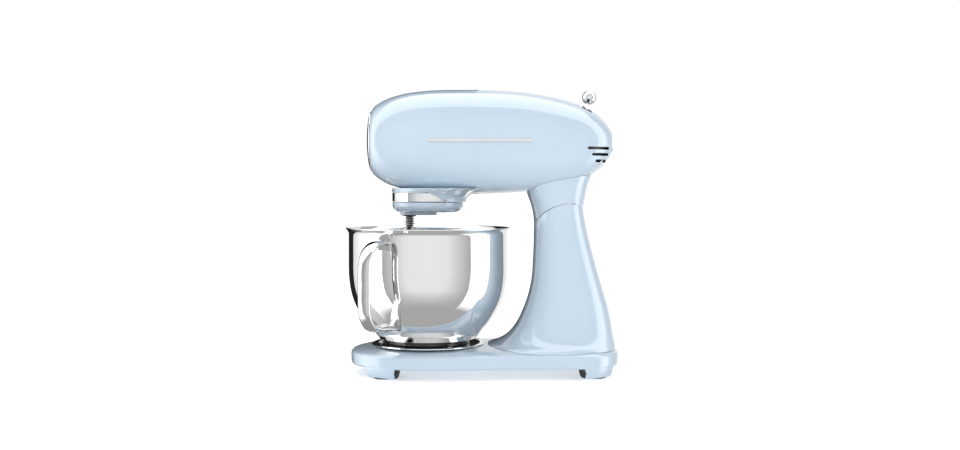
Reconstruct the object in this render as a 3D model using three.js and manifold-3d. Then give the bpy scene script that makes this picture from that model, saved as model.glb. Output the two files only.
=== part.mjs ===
// Stand mixer with a tilting head, a twist-lock bowl and a planetary drive.
// Millimetres, +Z up. In this file X runs from the bowl's axis toward the back of the machine,
// Y = 0 is the middle plane, -Y is the machine's near side, and Z = 0 is the worktop.
import * as THREE from 'three';
import { mergeVertices } from 'three/addons/utils/BufferGeometryUtils.js';
import Module from 'manifold-3d';

const wasm = await Module();
wasm.setup();

// ---------------------------------------------------------------- driving dimensions
const GAP = 0.3; // between pieces that touch
const ORIGIN_SHIFT = [-72, 15.2, 0]; // puts the origin under the middle of the whole machine

// Head: rows of x, top, bottom, half width, squareness of the upper half, squareness of the lower half.
const HEAD = [
  [-75, 349.5, 269.5, 40.5, 2, 2],
  [-72.3, 354.6, 265.5, 45.5, 2.05, 2.05],
  [-65.8, 359.9, 260, 50.5, 2.1, 2.2],
  [-54, 366, 253, 55, 2.2, 2.4],
  [-36, 371.8, 247, 59, 2.3, 2.6],
  [-8, 376.2, 242.6, 62, 2.35, 2.9],
  [45, 378, 239.6, 65, 2.4, 3],
  [95, 377.2, 240.4, 65, 2.4, 3],
  [135, 373.8, 243, 64, 2.4, 3],
  [166, 368.4, 246.5, 62.5, 2.35, 3],
  [190, 362.3, 251, 60, 2.3, 2.9],
  [208, 356, 258.5, 57, 2.25, 2.7],
  [221, 348.7, 267, 52, 2.2, 2.5],
  [232, 340.2, 275, 44.5, 2.1, 2.3],
  [239.5, 331.8, 283.5, 35.5, 2.05, 2.1],
  [243.5, 326, 289, 28, 2, 2],
  [245.2, 322, 294, 20, 2, 2],
];
const HEAD_WALL = 4;
const HEAD_SIDES = 24;
const HEAD_INNER_SIDES = 16;

// Upper column, split into the neck above the tilt joint and the column below it.
// Rows of z, front, rear, half width.
const NECK = [
  [198, 142.6, 210, 46.6],
  [215, 141, 208.4, 46.8],
  [226, 138.3, 208.6, 47],
  [236, 134.8, 210.5, 47],
  [247, 131, 212.5, 47],
  [258, 127, 216, 47],
  [272, 122, 222, 47],
];
const COLUMN = [
  [29, 66, 249.5, 77.5],
  [34, 72, 250.8, 77.5],
  [38.5, 80.6, 251, 74.5],
  [43, 93.5, 250, 70],
  [51, 106.5, 248.2, 64.5],
  [63, 116.8, 246.2, 60],
  [85, 128, 242, 55],
  [118, 138, 232.5, 50.5],
  [156, 141.4, 221.6, 47.5],
  [190, 142.4, 213, 46.5],
  [232, 142.4, 206, 46.5],
];
const COLUMN_SQUARENESS = 2.6;
const COLUMN_WALL = 6;
const CAVITY_TOP = 140;
const NECK_WALL = 7;
const COLUMN_SIDES = 24;

// Tilt joint.
const HINGE = { x: 188, z: 172, pin: 5, pinReach: 40 };
const SPLIT_RADIUS = 54.3;
const SPLIT_SIDES = 36;
const SPLIT_GAP = 0.8; // the open line between the tilting neck and the column
const SPLIT_FRONT_Z = 200.8; // where the split meets the front of the column
const TILT = 45; // degrees from level to fully raised
const ARM = { angle: 131, halfWidth: 7.5, halfThickness: 12, eye: 13, reach: 60 };
const ARM_CLEARANCE = 1.2;
const NECK_FLOOR = SPLIT_RADIUS + 6;
const HINGE_BUSH_OUTER = 7.7;

// Base: half of the outline, front to rear.
const BASE_OUTLINE = [
  [-103, 0], [-92, 45], [-58, 76], [0, 91], [60, 88], [120, 81], [180, 79.5], [226, 73], [247, 48], [253.5, 0],
];
// Rows of z and how far the outline is drawn in there.
const BASE_SIDE = [[14.5, 2.4], [16, 0.3], [28.5, 0], [31, 1], [33.2, 4.4], [36, 15], [38.2, 44]];
const BASE_WALL = 6;
const BASE_CAVITY_TOP = 32.5;
const BASE_SIDES = 30;
const FEET = [[-56, -55], [-56, 55], [221, -50], [221, 50]];
const FOOT = { radius: 12, height: 5.7 };
// The leg round each foot: rows of z, half length and half width.
const SKIRT = [[1, 19.1, 25.6], [8, 20.7, 27.2], [16, 23, 29.5], [28, 24.5, 31]];
// How far the base's outline is drawn in where it bounds the legs.
const SKIRT_SIDE = [[2, 5.6], [9, 2.4], [14, 1], [28, 1]];
const SKIRT_SQUARENESS = 4;
const COLUMN_BOLTS = [[118, -26], [118, 26], [233, -20], [233, 20]];
const BOLT = { shank: 3, head: 6, headBottom: 28, seat: 32.2, top: 49, boss: 9, bossBottom: 33, bossTop: 54 };
const GLAND = { radius: 6, bore: 3.4, y: 28, z: 62, front: 232, rear: 244.5 };

// Bowl, plate and handle.
const PLATE = { radius: 75.4, bottom: 38.7, top: 40.3 };
const BOWL_WALL = 1.2;
// Outer profile rows of radius and z, bottom to rim.
const BOWL = [
  [66, 47.2], [73, 57.5], [82.5, 68], [91.3, 81], [98, 94], [103, 110], [105.7, 130], [106, 187],
];
// The thin flared rim, from the outside of the wall round its edge to the inside.
const RIM = [[107.4, 190.4], [110, 193.2], [110, 194.5], [108.6, 194.5], [106, 191.6], [104.8, 188.4]];
const BOWL_FOOT = { outer: 55.3, inner: 53.6, bottom: 40.6, top: 46.9 };
const HANDLE_AZIMUTH = -118.5; // degrees from +X
const HANDLE_PATH = [
  [106.5, 177.5], [122, 178], [137.5, 173], [148.5, 161], [152, 145], [152, 124], [152, 102], [149, 86],
  [138.5, 74], [122, 69.5], [104, 69], [80, 67],
];
const HANDLE_SECTION = { halfWidth: 9, halfThickness: 4.6, sides: 12 };
const HANDLE_TAB = { face: 108.2, bottom: 165, top: 188.6 };

// Planetary drive. The ring and planet give 25 mm of offset.
const RING = { teeth: 36, module: 25 / 12, outer: 43.2, bottom: 231.3, top: 241 };
const PLANET = { teeth: 12, module: 25 / 12, bottom: 232, top: 238.5 };
const ORBIT = ((RING.teeth - PLANET.teeth) * RING.module) / 2;
const HEAD_RING = { outer: 47.7, inner: 43.5, bottom: 229, top: 241 };
const BOSS_FLOOR = 241.3;
// The boss over the ring flares back into the head's underside: rows of z, centre, half length, half width.
const BOSS = [[229, 1.6, 49.8, 49.8], [239, 5.5, 53.5, 52], [250, 10, 58, 56]];
const CARRIER = { radius: 47.7, top: 228.3, bottom: 215, boss: 12, bossBottom: 211 };
const SPINDLE = { radius: 4.5, bottom: 176, top: 240, pinZ: 184.5, pinHalfLength: 9.2 };
const SPINDLE_BUSH_OUTER = 7.7;
const CROSS_PIN = 2;
const SPRING = { coil: 6.1, wire: 0.7, bottom: 195.9, top: 209.3, turns: 4 };
const BEATER = { hubRadius: 9, hubBottom: 160, hubTop: 195.1, bottom: 57, top: 166, halfThickness: 4 };

// Gear train: every shaft but the upright one is parallel to X.
const HUB_AXIS_Z = 310;
const MOTOR_AXIS_Z = 284;
const UPRIGHT_SHAFT = { radius: 6, bottom: 216, top: 303.5 };
const BEVEL = { module: 2.4, wheelTeeth: 20, pinionTeeth: 10, inner: 0.74, slim: 0.7, addendum: 0.45 };
const HUB_PAIR = { module: 1.875, wheelTeeth: 24, pinionTeeth: 8, from: 57, to: 65 };
const MOTOR_PAIR = { module: 10 / 7, wheelTeeth: 28, pinionTeeth: 7, from: 73, to: 79 };
const CLUSTER_AXLE = 3;
const MOTOR = {
  radius: 34,
  inner: 31,
  front: 84,
  rear: 172,
  wall: 4,
  armature: 21.5,
  coreFrom: 98,
  coreTo: 150,
  shaft: 4,
  shaftRear: 186.5,
  bearing: 8.1,
};
const PINION_SHAFT = 2.4;
const FAN = { blades: 6, disc: 27, hub: 9, from: 177.5, to: 186 };
const HUB_SHAFT = { radius: 5, front: -55, rear: 70.6, drive: 9, driveFront: -66.4, square: 4.8 };
const HUB_OPENING = 32;
const HUB_CAP_RADIUS = 39.6;
const GEARBOX = { front: -34, wall: 67, rear: 71, half: 38, bottom: 240, top: 255, wallTop: 325 };
const MAIN_BEARING = { outer: 15.8, seat: 19.6, bottom: 243.5, top: 255 };

// Cooling vents through both sides, rows of z, front and rear; and the strip along each side.
const VENTS = [[299, 209, 239], [291, 215, 239], [282.6, 220, 236]];
const VENT_HALF_HEIGHT = 1.85;
const TRIM = { front: 2, rear: 138, bottom: 306.6, top: 309.6, thickness: 1.2 };

// Speed lever: it leans back with the head's top and swings across it.
const LEVER = {
  pivotX: 192.2,
  pivotZ: 302.2,
  lean: 21,
  rest: 18,
  length: 76.6,
  stem: 1.5,
  ball: 9.8,
  eye: 6,
  axle: 3,
  halfWidth: 2.6,
};
const LEVER_SLOT = { halfAlong: 7, halfAcross: 30, gateAlong: 2.6, gateAcross: 24, gateDepth: 2.5 };

// Release button and latch.
const BUTTON = { radius: 14, z: 308, face: 247.4, back: 243.5, stem: 4, stemFront: 226.1 };
const LATCH_Y = [15, 21];
const LATCH_PIN = 2.5;
const LATCH_CORNERS = [[180, 248], [198, 254], [216, 284], [221, 300]]; // x and z, the first is its pivot
const LATCH_TOE = [192.5, 241.5];
const LATCH_HALF = 3.6;
const KEEPER = { angle: 80, foot: 50, tip: 63.6, halfLength: 3, side: 1 };

// Cutting bodies reach this far so that they pass right through.
const ACROSS = [-100, 100];
const ALONG = [0, 300];

// ---------------------------------------------------------------- materials
const finish = (color, roughness, metalness) => (
  new THREE.MeshStandardMaterial({ color, roughness, metalness })
);
const PAINT = finish(0xcfe2ef, 0.35, 0.1);
const CHROME = finish(0xdfe3e6, 0.08, 1);
const POLISHED = finish(0xd4d6d8, 0.15, 1);
const STEEL = finish(0xa7abae, 0.4, 1);
const CAST = finish(0xb4b8ba, 0.55, 0.9);
const RUBBER = finish(0x24272a, 0.9, 0);
const BLACK = finish(0x1d1f21, 0.6, 0);
const BRONZE = finish(0xb08a4f, 0.4, 1);
const COPPER = finish(0xa9683c, 0.5, 0.9);
const BOARD = finish(0x3e6b4c, 0.7, 0);

// ---------------------------------------------------------------- small maths
const radians = THREE.MathUtils.degToRad;
const everyOther = (rows) => rows.filter((row, i) => i % 2 === 0);
const power = (value, exponent) => Math.sign(value) * Math.abs(value) ** exponent;
const aroundHinge = (radius, angle) => [
  HINGE.x + radius * Math.cos(radians(angle)),
  HINGE.z + radius * Math.sin(radians(angle)),
];

// ---------------------------------------------------------------- shapes
// Rings of equal length joined by walls, with a fan over each end.
function loft(rings) {
  const count = rings[0].length;
  const positions = rings.flat(2);
  const index = [];
  for (let ring = 0; ring + 1 < rings.length; ring += 1) {
    for (let i = 0; i < count; i += 1) {
      const a = ring * count + i;
      const b = ring * count + ((i + 1) % count);
      index.push(a, b, a + count, b, b + count, a + count);
    }
  }
  [0, rings.length - 1].forEach((ring) => {
    const centre = positions.length / 3;
    [0, 1, 2].forEach((k) => positions.push(rings[ring].reduce((sum, point) => sum + point[k], 0) / count));
    for (let i = 0; i < count; i += 1) {
      const a = ring * count + i;
      const b = ring * count + ((i + 1) % count);
      index.push(centre, ...(ring === 0 ? [b, a] : [a, b]));
    }
  });
  const geometry = new THREE.BufferGeometry();
  geometry.setAttribute('position', new THREE.Float32BufferAttribute(positions, 3));
  geometry.setIndex(index);
  return geometry;
}

const block = (x, y, z) => new THREE.BoxGeometry(x[1] - x[0], y[1] - y[0], z[1] - z[0])
  .translate((x[0] + x[1]) / 2, (y[0] + y[1]) / 2, (z[0] + z[1]) / 2);
const rodZ = (radius, z, x = 0, y = 0, sides = 12) => (
  new THREE.CylinderGeometry(radius, radius, z[1] - z[0], sides)
    .rotateX(Math.PI / 2)
    .translate(x, y, (z[0] + z[1]) / 2)
);
const rodY = (radius, y, x, z, sides = 12) => (
  new THREE.CylinderGeometry(radius, radius, y[1] - y[0], sides).translate(x, (y[0] + y[1]) / 2, z)
);
const rodX = (radius, x, y, z, sides = 12) => (
  new THREE.CylinderGeometry(radius, radius, x[1] - x[0], sides)
    .rotateZ(Math.PI / 2)
    .translate((x[0] + x[1]) / 2, y, z)
);
// Profiles are rows of radius and height, turned about Z, or about a line parallel to X.
const turnedZ = (profile, sides = 14) => (
  new THREE.LatheGeometry(profile.map(([r, h]) => new THREE.Vector2(r, h)), sides).rotateX(Math.PI / 2)
);
const turnedX = (profile, z, sides = 14) => turnedZ(profile, sides).rotateY(Math.PI / 2).translate(0, 0, z);
const ringProfile = (outer, inner, from, to) => [
  [inner, from], [outer, from], [outer, to], [inner, to], [inner, from],
];

const shapeOf = (points) => new THREE.Shape(points.map(([u, v]) => new THREE.Vector2(u, v)));
const extruded = (shape, depth, curveSegments = 8) => (
  new THREE.ExtrudeGeometry(shape, { depth, bevelEnabled: false, curveSegments })
);
const prismZ = (points, z) => extruded(shapeOf(points), z[1] - z[0]).translate(0, 0, z[0]);
// The outline's points are rows of x and z.
const prismY = (points, y) => (
  extruded(shapeOf(points), y[1] - y[0]).rotateX(Math.PI / 2).translate(0, y[1], 0)
);
const Y_Z_TO_X = new THREE.Matrix4().makeBasis(
  new THREE.Vector3(0, 1, 0), new THREE.Vector3(0, 0, 1), new THREE.Vector3(1, 0, 0),
);
// The outline's points are rows of y and z about the shaft's own line.
const prismX = (points, x, y, z) => (
  extruded(shapeOf(points), x[1] - x[0]).applyMatrix4(Y_Z_TO_X).translate(x[0], y, z)
);

function arcPoints(radius, from, to, steps) {
  const points = [];
  for (let i = 0; i <= steps; i += 1) {
    points.push(aroundHinge(radius, from + ((to - from) * i) / steps));
  }
  return points;
}

// A flat bar with round ends between two points of the XZ plane.
function bar(a, b, halfWidth, y) {
  const heading = Math.atan2(b[1] - a[1], b[0] - a[0]);
  const points = [];
  [[b, -90], [a, 90]].forEach(([end, start]) => {
    for (let i = 0; i <= 4; i += 1) {
      const angle = heading + radians(start + i * 45);
      points.push([end[0] + halfWidth * Math.cos(angle), end[1] + halfWidth * Math.sin(angle)]);
    }
  });
  return prismY(points, y);
}

// ---------------------------------------------------------------- joining and cutting
function solid(geometry) {
  const bare = new THREE.BufferGeometry();
  bare.setAttribute('position', geometry.getAttribute('position'));
  if (geometry.getIndex()) bare.setIndex(geometry.getIndex());
  const merged = mergeVertices(bare, 1e-4);
  const positions = merged.getAttribute('position').array;
  const corners = merged.getIndex().array;
  const corner = (i) => new THREE.Vector3().fromArray(positions, i * 3);
  const triangles = [];
  let volume = 0;
  for (let i = 0; i < corners.length; i += 3) {
    const [a, b, c] = [corners[i], corners[i + 1], corners[i + 2]];
    if (a !== b && b !== c && c !== a) {
      triangles.push([a, b, c]);
      volume += corner(a).dot(corner(b).cross(corner(c)));
    }
  }
  const outward = volume > 0 ? triangles : triangles.map(([a, b, c]) => [a, c, b]);
  return new wasm.Manifold(new wasm.Mesh({
    numProp: 3, vertProperties: Float32Array.from(positions), triVerts: Uint32Array.from(outward.flat()),
  }));
}
const asSolid = (shape) => (shape.isBufferGeometry ? solid(shape) : shape);
const join = (first, ...others) => (
  others.reduce((whole, shape) => whole.add(asSolid(shape)), asSolid(first))
);
const cut = (first, ...others) => (
  others.reduce((whole, shape) => whole.subtract(asSolid(shape)), asSolid(first))
);
const common = (first, second) => asSolid(first).intersect(asSolid(second));

function geometryOf(shape) {
  const mesh = asSolid(shape).getMesh();
  const geometry = new THREE.BufferGeometry();
  geometry.setAttribute('position', new THREE.BufferAttribute(Float32Array.from(mesh.vertProperties), 3));
  geometry.setIndex(new THREE.BufferAttribute(Uint32Array.from(mesh.triVerts), 1));
  geometry.computeVertexNormals();
  return geometry;
}

const mixer = new THREE.Group();
mixer.position.set(...ORIGIN_SHIFT);
function add(name, shape, material) {
  const mesh = new THREE.Mesh(geometryOf(shape), material);
  mesh.name = name;
  mixer.add(mesh);
}

// ---------------------------------------------------------------- head, neck, column and base forms
// The head's form, drawn in by `inset` all round.
function headForm(inset, rows = HEAD, sides = HEAD_SIDES) {
  const [front, rear] = [HEAD[0][0], HEAD[HEAD.length - 1][0]];
  const middle = (front + rear) / 2;
  const shrink = 1 - (2 * inset) / (rear - front);
  return loft(rows.map(([x, top, bottom, half, upper, lower]) => {
    const centre = (top + bottom) / 2;
    const tall = (top - bottom) / 2 - inset;
    const ring = [];
    for (let i = 0; i < sides; i += 1) {
      const angle = (2 * Math.PI * i) / sides;
      const squareness = Math.sin(angle) >= 0 ? upper : lower;
      ring.push([
        middle + (x - middle) * shrink,
        (half - inset) * power(Math.cos(angle), 2 / squareness),
        centre + tall * power(Math.sin(angle), 2 / squareness),
      ]);
    }
    return ring;
  }));
}

// A level superellipse; at a squareness of 2 it is an ellipse.
function squareRing(z, x, y, halfX, halfY, squareness) {
  const ring = [];
  for (let i = 0; i < COLUMN_SIDES; i += 1) {
    const angle = (2 * Math.PI * i) / COLUMN_SIDES;
    ring.push([
      x + halfX * power(Math.cos(angle), 2 / squareness),
      y + halfY * power(Math.sin(angle), 2 / squareness),
      z,
    ]);
  }
  return ring;
}

// Level sections from rows of z, front, rear and half width.
const columnForm = (rows, inset) => loft(rows.map(([z, front, rear, half]) => (
  squareRing(z, (front + rear) / 2, 0, (rear - front) / 2 - inset, half - inset, COLUMN_SQUARENESS)
)));

const BASE_LENGTH = BASE_OUTLINE[BASE_OUTLINE.length - 1][0] - BASE_OUTLINE[0][0];
const BASE_MIDDLE = BASE_OUTLINE[0][0] + BASE_LENGTH / 2;
const BASE_HALF = Math.max(...BASE_OUTLINE.map(([, y]) => y));
const baseCurve = new THREE.CatmullRomCurve3(
  [...BASE_OUTLINE, ...BASE_OUTLINE.slice(1, -1).reverse().map(([x, y]) => [x, -y])]
    .map(([x, y]) => new THREE.Vector3(x, y, 0)),
  true,
  'centripetal',
);
// Level sections of the base from rows of z and inset.
function baseForm(rows) {
  const outline = baseCurve.getSpacedPoints(BASE_SIDES).slice(0, BASE_SIDES);
  return loft(rows.map(([z, inset]) => outline.map((point) => [
    BASE_MIDDLE + (point.x - BASE_MIDDLE) * (1 - (2 * inset) / BASE_LENGTH),
    point.y * (1 - inset / BASE_HALF),
    z,
  ])));
}

// ---------------------------------------------------------------- gears
// Outline of a spur gear of plain trapezoid teeth, or of the hole of a ring gear.
function gearOutline(teeth, module, firstTooth, { internal = false, slim = 1, addendum = 0.8 } = {}) {
  const side = internal ? -1 : 1;
  const pitch = (module * teeth) / 2;
  const [root, tip] = [pitch - side * 1.15 * module, pitch + side * addendum * module];
  const step = (2 * Math.PI) / teeth;
  const points = [];
  for (let i = 0; i < teeth; i += 1) {
    const centre = firstTooth + i * step;
    [[root, -0.25], [tip, -0.1], [tip, 0.1], [root, 0.25]].forEach(([radius, part]) => {
      const angle = centre + part * slim * step;
      points.push([radius * Math.cos(angle), radius * Math.sin(angle)]);
    });
  }
  return points;
}

// A bevel gear from sections at a distance along its shaft and a scale.
const bevelForm = (outline, sections) => loft(
  sections.map(([along, scale]) => outline.map(([u, v]) => [u * scale, v * scale, along])),
);

// Where the cluster gear's axle lies, from the two centre distances of its meshes.
const clusterToHub = (HUB_PAIR.module * (HUB_PAIR.wheelTeeth + HUB_PAIR.pinionTeeth)) / 2;
const clusterToMotor = (MOTOR_PAIR.module * (MOTOR_PAIR.wheelTeeth + MOTOR_PAIR.pinionTeeth)) / 2;
const motorToHub = HUB_AXIS_Z - MOTOR_AXIS_Z;
const clusterDrop = (clusterToHub ** 2 - clusterToMotor ** 2 + motorToHub ** 2) / (2 * motorToHub);
const CLUSTER_Y = Math.sqrt(clusterToHub ** 2 - clusterDrop ** 2);
const CLUSTER_Z = HUB_AXIS_Z - clusterDrop;

// ---------------------------------------------------------------- stand
function buildBase() {
  const body = cut(baseForm(BASE_SIDE), baseForm([[0, BASE_WALL], [BASE_CAVITY_TOP, BASE_WALL + 2]]));
  const skirtForm = baseForm(SKIRT_SIDE);
  const skirts = FEET.map(([x, y]) => common(skirtForm, loft(
    SKIRT.map(([z, halfX, halfY]) => squareRing(z, x, y, halfX, halfY, SKIRT_SQUARENESS)),
  )));
  const recesses = FEET.map(([x, y]) => rodZ(FOOT.radius + GAP, [0, FOOT.height + GAP], x, y, 24));
  const boltHoles = COLUMN_BOLTS.map(([x, y]) => rodZ(BOLT.shank + GAP, [20, 50], x, y, 10));
  add('base_casting', cut(join(body, ...skirts), ...recesses, ...boltHoles), PAINT);
  FEET.forEach(([x, y], i) => {
    const side = y < 0 ? 'near' : 'far';
    const end = i < 2 ? 'front' : 'rear';
    const profile = [[0, 0], [FOOT.radius, 0], [FOOT.radius, FOOT.height], [0, FOOT.height]];
    add(`foot_${end}_${side}`, turnedZ(profile).translate(x, y, 0), RUBBER);
  });
}

function buildPlate() {
  const { radius, bottom, top } = PLATE;
  add('bowl_plate', turnedZ([
    [0, bottom], [radius - 0.4, bottom], [radius, bottom + 0.6], [radius - 0.8, top], [0, top],
  ], 40), CHROME);
}

function buildColumn() {
  const below = block(ALONG, ACROSS, [0, SPLIT_FRONT_Z - SPLIT_GAP]);
  const rounded = rodY(SPLIT_RADIUS, ACROSS, HINGE.x, HINGE.z, SPLIT_SIDES);
  const outside = common(columnForm(COLUMN, 0), join(below, rounded));
  const cavity = columnForm(everyOther(COLUMN.filter(([z]) => z < CAVITY_TOP).slice(1)), COLUMN_WALL);
  const bosses = COLUMN_BOLTS.map(([x, y]) => rodZ(BOLT.boss, [BOLT.bossBottom, BOLT.bossTop], x, y));
  const baseRows = BASE_SIDE.map(([z, inset]) => [z + GAP, inset - GAP]);
  const slot = [-ARM.halfThickness - ARM_CLEARANCE, ARM.halfThickness + ARM_CLEARANCE];
  const armSweep = arcPoints(ARM.reach + 2, ARM.angle - TILT, ARM.angle, 6);
  const armPath = prismY([...armSweep, [HINGE.x, HINGE.z]], slot);
  add('column_casting', cut(
    join(cut(outside, cavity), ...bosses),
    baseForm([[0, 0], ...baseRows]),
    armPath,
    armForm(ARM.angle, ARM_CLEARANCE),
    armForm(ARM.angle - TILT, ARM_CLEARANCE),
    rodY(HINGE.pin + GAP, [-HINGE.pinReach - GAP, 100], HINGE.x, HINGE.z),
    keeperForm(GAP),
    ...COLUMN_BOLTS.map(([x, y]) => rodZ(BOLT.shank + GAP, [20, BOLT.top + GAP], x, y, 10)),
    rodX(GLAND.radius + GAP, ALONG, GLAND.y, GLAND.z),
  ), PAINT);
  add('hinge_pin', rodY(HINGE.pin, [-HINGE.pinReach, HINGE.pinReach + 2], HINGE.x, HINGE.z), STEEL);
  add('latch_keeper', keeperForm(0), STEEL);
  COLUMN_BOLTS.forEach(([x, y], i) => add(`column_bolt_${i + 1}`, join(
    rodZ(BOLT.head, [BOLT.headBottom, BOLT.seat], x, y, 6),
    rodZ(BOLT.shank, [BOLT.seat - 1, BOLT.top], x, y, 10),
  ), STEEL));
  add('cord_gland', cut(
    rodX(GLAND.radius, [GLAND.front, GLAND.rear], GLAND.y, GLAND.z),
    rodX(GLAND.bore, ALONG, GLAND.y, GLAND.z),
  ), RUBBER);
}

// The arm of the neck that turns on the hinge pin, with its eye.
function armForm(angle, grow) {
  const [halfWidth, halfThickness] = [ARM.halfWidth + grow, ARM.halfThickness + grow];
  const arm = block([0, ARM.reach + 2 * grow], [-halfThickness, halfThickness], [-halfWidth, halfWidth])
    .rotateY(-radians(angle)).translate(HINGE.x, 0, HINGE.z);
  return join(arm, rodY(ARM.eye + grow, [-halfThickness, halfThickness], HINGE.x, HINGE.z, 24));
}

// The latch keeper: a steel block standing out of the column's round top.
function keeperForm(grow) {
  const { angle, foot, tip, halfLength, side } = KEEPER;
  const half = halfLength + grow;
  const [from, to] = [LATCH_Y[0] - side - grow, LATCH_Y[1] + side + grow];
  return block([foot - grow, tip + grow], [from, to], [-half, half])
    .rotateY(-radians(angle)).translate(HINGE.x, 0, HINGE.z);
}

// ---------------------------------------------------------------- neck and head
function buildNeck() {
  const form = columnForm(NECK, 0);
  const under = join(
    block(ALONG, ACROSS, [0, SPLIT_FRONT_Z + SPLIT_GAP]),
    rodY(SPLIT_RADIUS + SPLIT_GAP, ACROSS, HINGE.x, HINGE.z, SPLIT_SIDES),
  );
  const cavity = cut(columnForm(NECK, NECK_WALL), rodY(NECK_FLOOR, ACROSS, HINGE.x, HINGE.z, 48));
  const shell = cut(form, cavity, under, headForm(-GAP));
  const keeperPath = prismY([
    ...arcPoints(SPLIT_RADIUS - 3, KEEPER.angle + TILT + 6, KEEPER.angle - 6, 8),
    ...arcPoints(KEEPER.tip + 1.4, KEEPER.angle - 6, KEEPER.angle + TILT + 6, 8),
  ], [LATCH_Y[0] - 2, LATCH_Y[1] + 2]);
  add('neck_casting', cut(
    join(shell, armForm(ARM.angle, 0)),
    keeperPath,
    rodY(HINGE_BUSH_OUTER + GAP, ACROSS, HINGE.x, HINGE.z),
  ), PAINT);
  const bush = ringProfile(HINGE_BUSH_OUTER, HINGE.pin + GAP, -ARM.halfThickness, ARM.halfThickness);
  add('hinge_bush', turnedZ(bush).rotateX(Math.PI / 2).translate(HINGE.x, 0, HINGE.z), BRONZE);
}

// A block across the speed lever's slot, in the lever's own leaning frame.
const leverBlock = (halfAlong, halfAcross) => (
  block([-halfAlong, halfAlong], [-halfAcross, halfAcross], [35, 85])
    .rotateY(radians(LEVER.lean))
    .translate(LEVER.pivotX, 0, LEVER.pivotZ)
);

function buildHead() {
  const outer = solid(headForm(0));
  const inner = solid(headForm(HEAD_WALL, everyOther(HEAD), HEAD_INNER_SIDES));
  const boss = loft(BOSS.map(([z, centre, halfX, halfY]) => squareRing(z, centre, 0, halfX, halfY, 2)));
  // The boss leaves the ring open to view at the front, below a sloping edge.
  const frontView = prismY([
    [-90, 200], [-90, BOSS_FLOOR], [3, BOSS_FLOOR], [30, HEAD_RING.bottom], [30, 200],
  ], [-80, 80]);
  const floor = block([-80, 80], [-80, 80], [240, 255]);
  const bossShell = join(cut(boss, frontView), common(outer, floor));
  const vents = VENTS.map(([z, front, rear]) => (
    bar([front + VENT_HALF_HEIGHT, z], [rear - VENT_HALF_HEIGHT, z], VENT_HALF_HEIGHT, [-80, 80])
  ));
  add('head_shell', cut(
    join(outer, cut(bossShell, inner)),
    inner,
    rodZ(HEAD_RING.outer + GAP, [200, BOSS_FLOOR], 0, 0, 40),
    rodZ(20, [230, 260], 0, 0, 20),
    rodX(HUB_OPENING, [-90, -60], 0, HUB_AXIS_Z, 28),
    rodX(BUTTON.radius + 0.5, [230, 260], 0, BUTTON.z, 20),
    block([148, 214], [-24, 24], [230, 275]), // the way through to the neck
    leverBlock(LEVER_SLOT.halfAlong, LEVER_SLOT.halfAcross),
    ...vents,
  ), PAINT);
  add('lever_gate', cut(
    common(headForm(0), leverBlock(LEVER_SLOT.halfAlong - GAP, LEVER_SLOT.halfAcross - GAP)),
    headForm(LEVER_SLOT.gateDepth),
    leverBlock(LEVER_SLOT.gateAlong, LEVER_SLOT.gateAcross),
  ), BLACK);
  add('planetary_ring', turnedZ(
    ringProfile(HEAD_RING.outer, HEAD_RING.inner, HEAD_RING.bottom, HEAD_RING.top), 40,
  ), CHROME);
  const skin = cut(headForm(-TRIM.thickness), headForm(-GAP));
  [['near', [ACROSS[0], 0]], ['far', [0, ACROSS[1]]]].forEach(([side, y]) => {
    const length = block([TRIM.front, TRIM.rear], y, [TRIM.bottom, TRIM.top]);
    add(`trim_strip_${side}`, common(skin, length), CHROME);
  });
}

// ---------------------------------------------------------------- hub
function buildHub() {
  const rear = -50;
  const { square } = HUB_SHAFT;
  add('hub_sleeve', turnedX([
    [27, -74.7], [HUB_OPENING - GAP, -74.7], [HUB_OPENING - GAP, rear], [12, rear], [12, -40], [9.1, -40],
    [9.1, rear - 4], [27, rear - 4], [27, -74.7],
  ], HUB_AXIS_Z, 28), STEEL);
  add('hub_front_bearing', turnedX(ringProfile(8.8, HUB_SHAFT.radius + GAP, -50, -43), HUB_AXIS_Z), STEEL);
  add('hub_rear_bearing', turnedX(ringProfile(8.8, HUB_SHAFT.radius + GAP, 67, 71), HUB_AXIS_Z), STEEL);
  add('hub_shaft', cut(
    join(
      rodX(HUB_SHAFT.radius, [HUB_SHAFT.front - 1, HUB_SHAFT.rear], 0, HUB_AXIS_Z),
      rodX(HUB_SHAFT.drive, [HUB_SHAFT.driveFront, HUB_SHAFT.front], 0, HUB_AXIS_Z),
    ),
    // The square socket that takes an attachment's shaft.
    block([-70, HUB_SHAFT.front - 3], [-square, square], [HUB_AXIS_Z - square, HUB_AXIS_Z + square]),
  ), STEEL);
  const seat = HEAD[0][0] - GAP;
  add('hub_cap', turnedX([
    [0, seat - 5.4], [14, seat - 5.1], [28, seat - 3.7], [HUB_CAP_RADIUS - 2, seat - 1.8],
    [HUB_CAP_RADIUS, seat - 0.8], [HUB_CAP_RADIUS, seat], [26.6, seat], [26.6, seat + 8], [24.6, seat + 8],
    [24.6, seat - 1.6], [0, seat - 2.6],
  ], HUB_AXIS_Z, 24), CHROME);
}

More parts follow.
